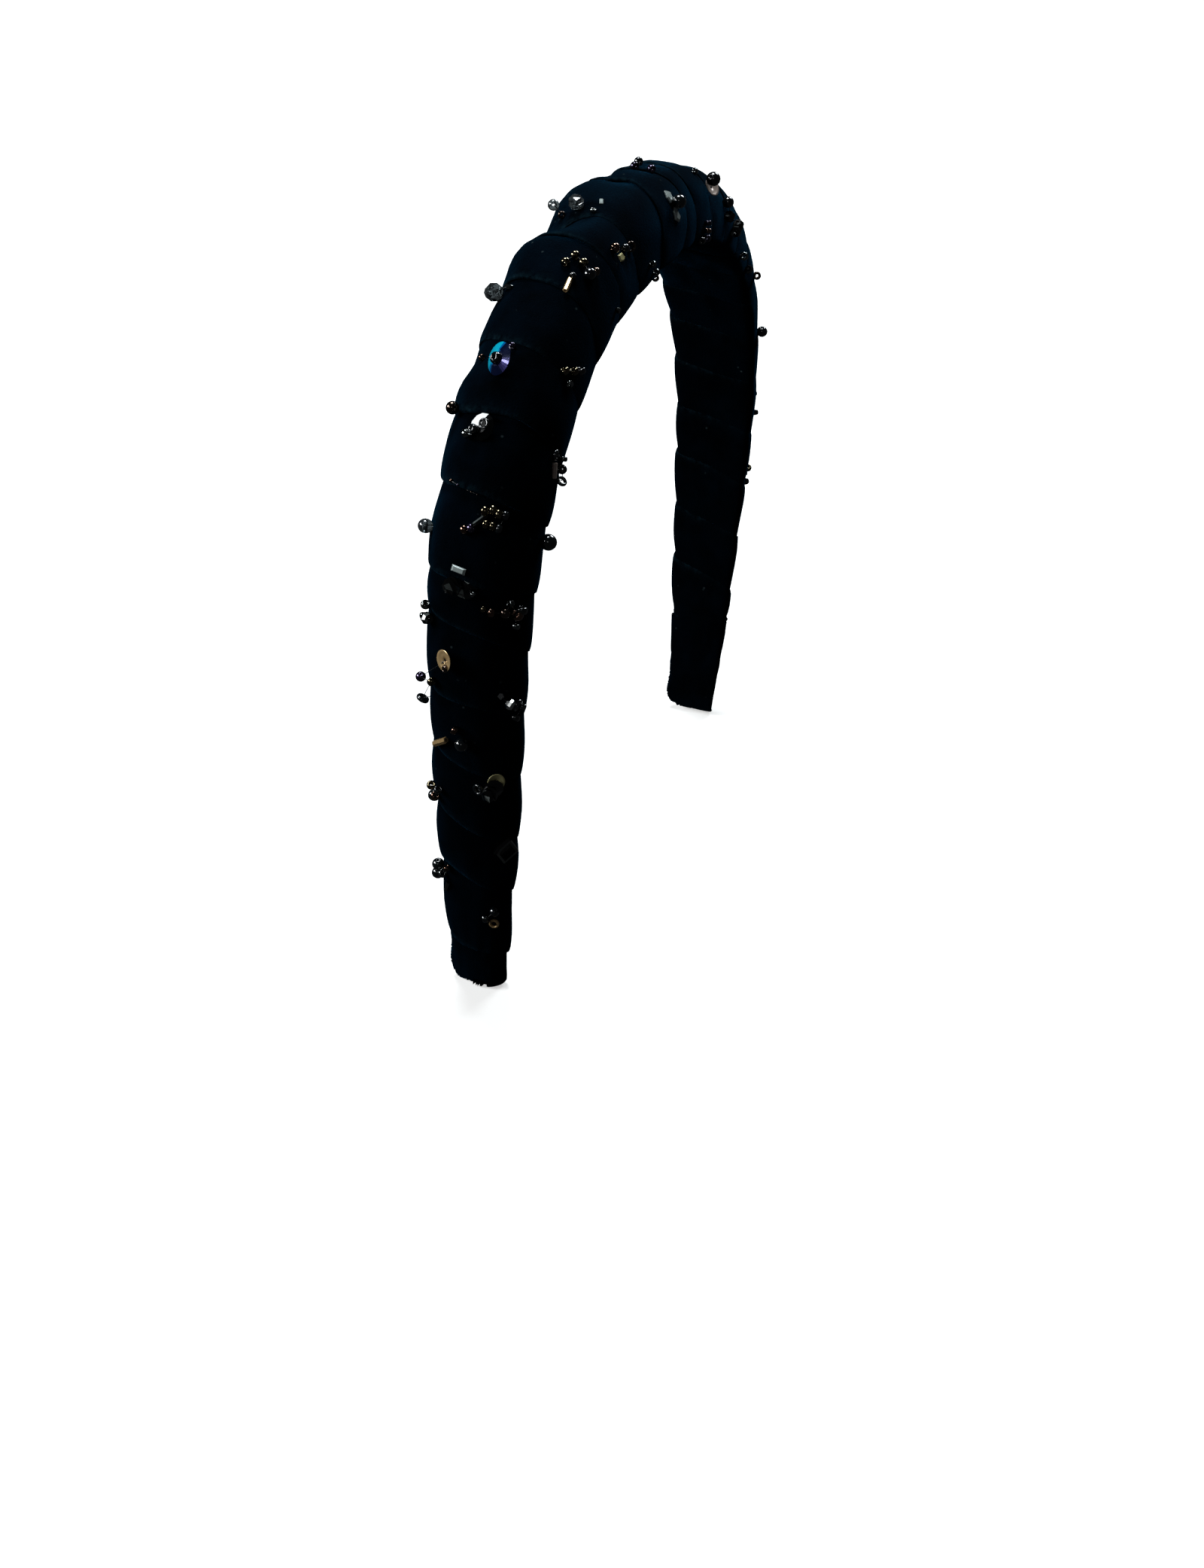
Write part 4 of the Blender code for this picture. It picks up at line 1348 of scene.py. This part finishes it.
def all_materials():
    """Every material by its name."""
    materials = {
        "velvet": velvet_material(),
        "thread": thread_material(),
        "foam": foam_material(),
        "band_plastic": plastic_material(),
        # Painted sheen: the blue sequin is painted bright cyan on the side towards the window and
        # dark away from it.
        "blue_iridescent": two_way_material(
            "blue_iridescent", IRIDESCENT_PAINTED_SHEEN_TONES, noise_share=0.2, metallic=0.5, coat=0.3, gloss=0.5
        ),
        # Painted reflection: the silver sequin's faces are coloured by which way they point.
        "silver_painted_reflection": two_way_material(
            "silver_painted_reflection", PAINTED_REFLECTION_TONES, noise_share=0.1, metallic=0.0, coat=0.05, gloss=0.1
        ),
    }
    for name, finish in GLASSES.items():
        materials[name] = glass_material(name, *finish)
    shader = materials["smoke_glass"].node_tree.nodes["Principled BSDF"]
    shader.inputs["Transmission Weight"].default_value = SMOKE_CLEARNESS
    return materials


# ---------------------------------------------------------------- floor, light and camera


FLOOR_HEIGHT = -ARCH_HEIGHT - 1.0
# How far the floor has risen at each radius.
FLOOR_RISES = [(0.001, 0), (900, 0), (1500, 0), (2100, 60), (2600, 300), (2900, 900), (2950, 2600)]


def floor_and_wall():
    """A pale floor that curves up into a wall all round; it doesn't light the object."""
    profile = [(radius, FLOOR_HEIGHT + rise) for radius, rise in FLOOR_RISES]
    floor = mesh_object("studio_floor", *lathe(profile, 96, closed=False))
    nodes = Nodes("studio_paper")
    tone = nodes.noise(14, detail=4)
    nodes.set(Base_Color=nodes.mix(tone, (0.74, 0.74, 0.73), (0.78, 0.78, 0.77)), Roughness=0.9)
    nodes.set(Emission_Color=(1, 1, 0.99, 1), Emission_Strength=0.55)
    floor.data.materials.append(nodes.material)
    floor.visible_diffuse = False
    floor.visible_glossy = False
    floor.visible_shadow = False


def soft_light(name, place, size, energy, colour=(1, 1, 1)):
    """A square lamp aimed at the middle of the band, in metres and watts."""
    lamp = bpy.data.lights.new(name, "AREA")
    lamp.size = size
    lamp.energy = energy
    lamp.color = colour
    thing = bpy.data.objects.new(name, lamp)
    thing.location = Vector(place)
    aim = Vector((0, 0, -ARCH_HEIGHT / 2 * MM)) - thing.location
    thing.rotation_euler = aim.to_track_quat("-Z", "Y").to_euler()
    bpy.context.scene.collection.objects.link(thing)


def lights():
    """Windows and sky that light the band from behind and above, and a faint room."""
    soft_light("window", (-0.55, 1.2, 0.5), 0.5, 16, (0.95, 0.98, 1.0))
    soft_light("sky_over_crown", (0.3, 0.3, 1.3), 0.5, 16, (0.9, 0.96, 1.0))
    soft_light("near_window", (-1.0, 0.8, 0.55), 0.2, 2.5, (0.97, 0.98, 1.0))
    soft_light("far_window", (1.1, -0.2, 0.8), 0.5, 9, (0.9, 0.96, 1.0))
    soft_light("room_behind_camera", (-1.3, -0.25, 0.7), 0.3, 0.35)
    world = bpy.data.worlds.new("studio")
    world.use_nodes = True
    background = world.node_tree.nodes["Background"]
    background.inputs["Color"].default_value = (0.9, 0.95, 1, 1)
    background.inputs["Strength"].default_value = 0.018
    bpy.context.scene.world = world
    bpy.context.scene.view_settings.view_transform = "Standard"


def camera():
    """The camera stands where it sees the near arm from outside, a little from the front."""
    lens = bpy.data.cameras.new("camera")
    lens.lens = CAMERA_LENS
    lens.clip_start, lens.clip_end = 0.01, 20
    thing = bpy.data.objects.new("camera", lens)
    bpy.context.scene.collection.objects.link(thing)
    azimuth, elevation = math.radians(CAMERA_AZIMUTH), math.radians(CAMERA_ELEVATION)
    back = Vector((math.sin(azimuth), -math.cos(azimuth), math.tan(elevation))) * math.cos(elevation)
    heading, pitch = math.radians(CAMERA_AZIMUTH + CAMERA_YAW), math.radians(CAMERA_PITCH)
    ahead = -Vector((math.sin(heading), -math.cos(heading), math.tan(pitch))) * math.cos(pitch)
    right = Vector((math.cos(heading), math.sin(heading), 0))
    axes = Matrix((right, right.cross(ahead), -ahead)).transposed()
    axes = axes @ Matrix.Rotation(math.radians(CAMERA_ROLL), 3, "Z")
    placed = Matrix.Translation(back * CAMERA_DISTANCE * MM) @ axes.to_4x4()
    thing.matrix_world = Matrix.Rotation(math.radians(-BAND_LEAN), 4, "X") @ placed
    bpy.context.scene.camera = thing


# ---------------------------------------------------------------- putting it together


def bend_with_arm(thing):
    """The piece's placement is baked into its mesh; it is not attached to the crown or an arm."""
    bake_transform(thing)


def cover(materials):
    """The two halves of the wound ribbon and the two end tabs."""
    velvet = materials["velvet"]
    halves = {
        "right": ribbon_half("velvet_ribbon_right", FIRST_TURN, SPLIT_TURN),
        "left": ribbon_half("velvet_ribbon_left", SPLIT_TURN, LAST_TURN),
    }
    for name, half in halves.items():
        side = 1 if name == "left" else -1
        half.data.materials.append(velvet)
        bend_with_arm(half)
        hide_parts(f"velvet_wrap_{name}_arm")
    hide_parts("velvet_wrap_crown")
    tabs = []
    for name, side in (("left", 1), ("right", -1)):
        tab = end_tab(f"end_tab_{name}", side, SEED + 10 + side)
        tab.data.materials.append(velvet)
        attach(tab, f"{name}_arm")
        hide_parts(f"velvet_end_tab_{name}")
        tabs.append(tab)
    return [*halves.values(), *tabs]


def left_clusters():
    """The left arm's clusters, each a pattern moved to its place."""
    clusters = {}
    for name, (pattern, along, across) in LEFT_PLACES.items():
        clusters[name] = [
            piece._replace(along=along + piece.along, across=across + piece.across)
            for piece in LEFT_PATTERNS[pattern]
        ]
    return clusters


def move_with_velvet(thing, along):
    """A cluster near the bend between crown and arm only has its placement baked; elsewhere it rides
    on the crown's or its arm's body.
    """
    side = 1 if along > 0 else -1
    if BEND_START < abs(along) < BEND_END + CLUSTER_REACH:
        bend_with_arm(thing)
    elif abs(along) <= BEND_START:
        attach(thing, "crown")
    else:
        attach(thing, "left_arm" if side > 0 else "right_arm")


def embroidery(tree, materials):
    """Every cluster of the CAD as detailed beads on the velvet, on the crown's or an arm's body, or
    baked in place near the bend.
    A CAD node's own material has the name of its slot."""
    rng = np.random.default_rng(SEED)
    groups = (
        ("crown", CROWN_CLUSTERS),
        ("right", RIGHT_CLUSTERS),
        ("left", left_clusters()),
    )
    for prefix, clusters in groups:
        for name, pieces in clusters.items():
            node = f"{prefix}_{name}"
            reach = TIP_ALONG if name in LOOSE_THREADS else THREAD_REACH
            thing = cluster_object(f"beads_{node}", pieces, tree, materials, rng, reach)
            move_with_velvet(thing, pieces[0].along)
            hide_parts(node)
    for name, pieces in STRAY_BEADS.items():
        thing = cluster_object(f"beads_{name}", pieces, tree, materials, rng)
        move_with_velvet(thing, pieces[0].along)


def finish_hidden_layers(nodes, materials):
    """The foam and the springy strip under the velvet."""
    foam = crown_foam()
    foam.data.materials.append(materials["foam"])
    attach(foam, "crown")
    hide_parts("foam_pad_crown")
    for name, thing in nodes.items():
        for prefix, finish in (("foam_pad", "foam"), ("band_core", "band_plastic")):
            if name.startswith(prefix):
                thing.data.materials.clear()
                thing.data.materials.append(materials[finish])


def main():
    for thing in list(bpy.data.objects):
        bpy.data.objects.remove(thing)
    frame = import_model()
    materials = all_materials()
    velvet = cover(materials)
    embroidery(velvet_tree(velvet), materials)
    finish_hidden_layers(frame["nodes"], materials)
    floor_and_wall()
    lights()
    camera()


main()
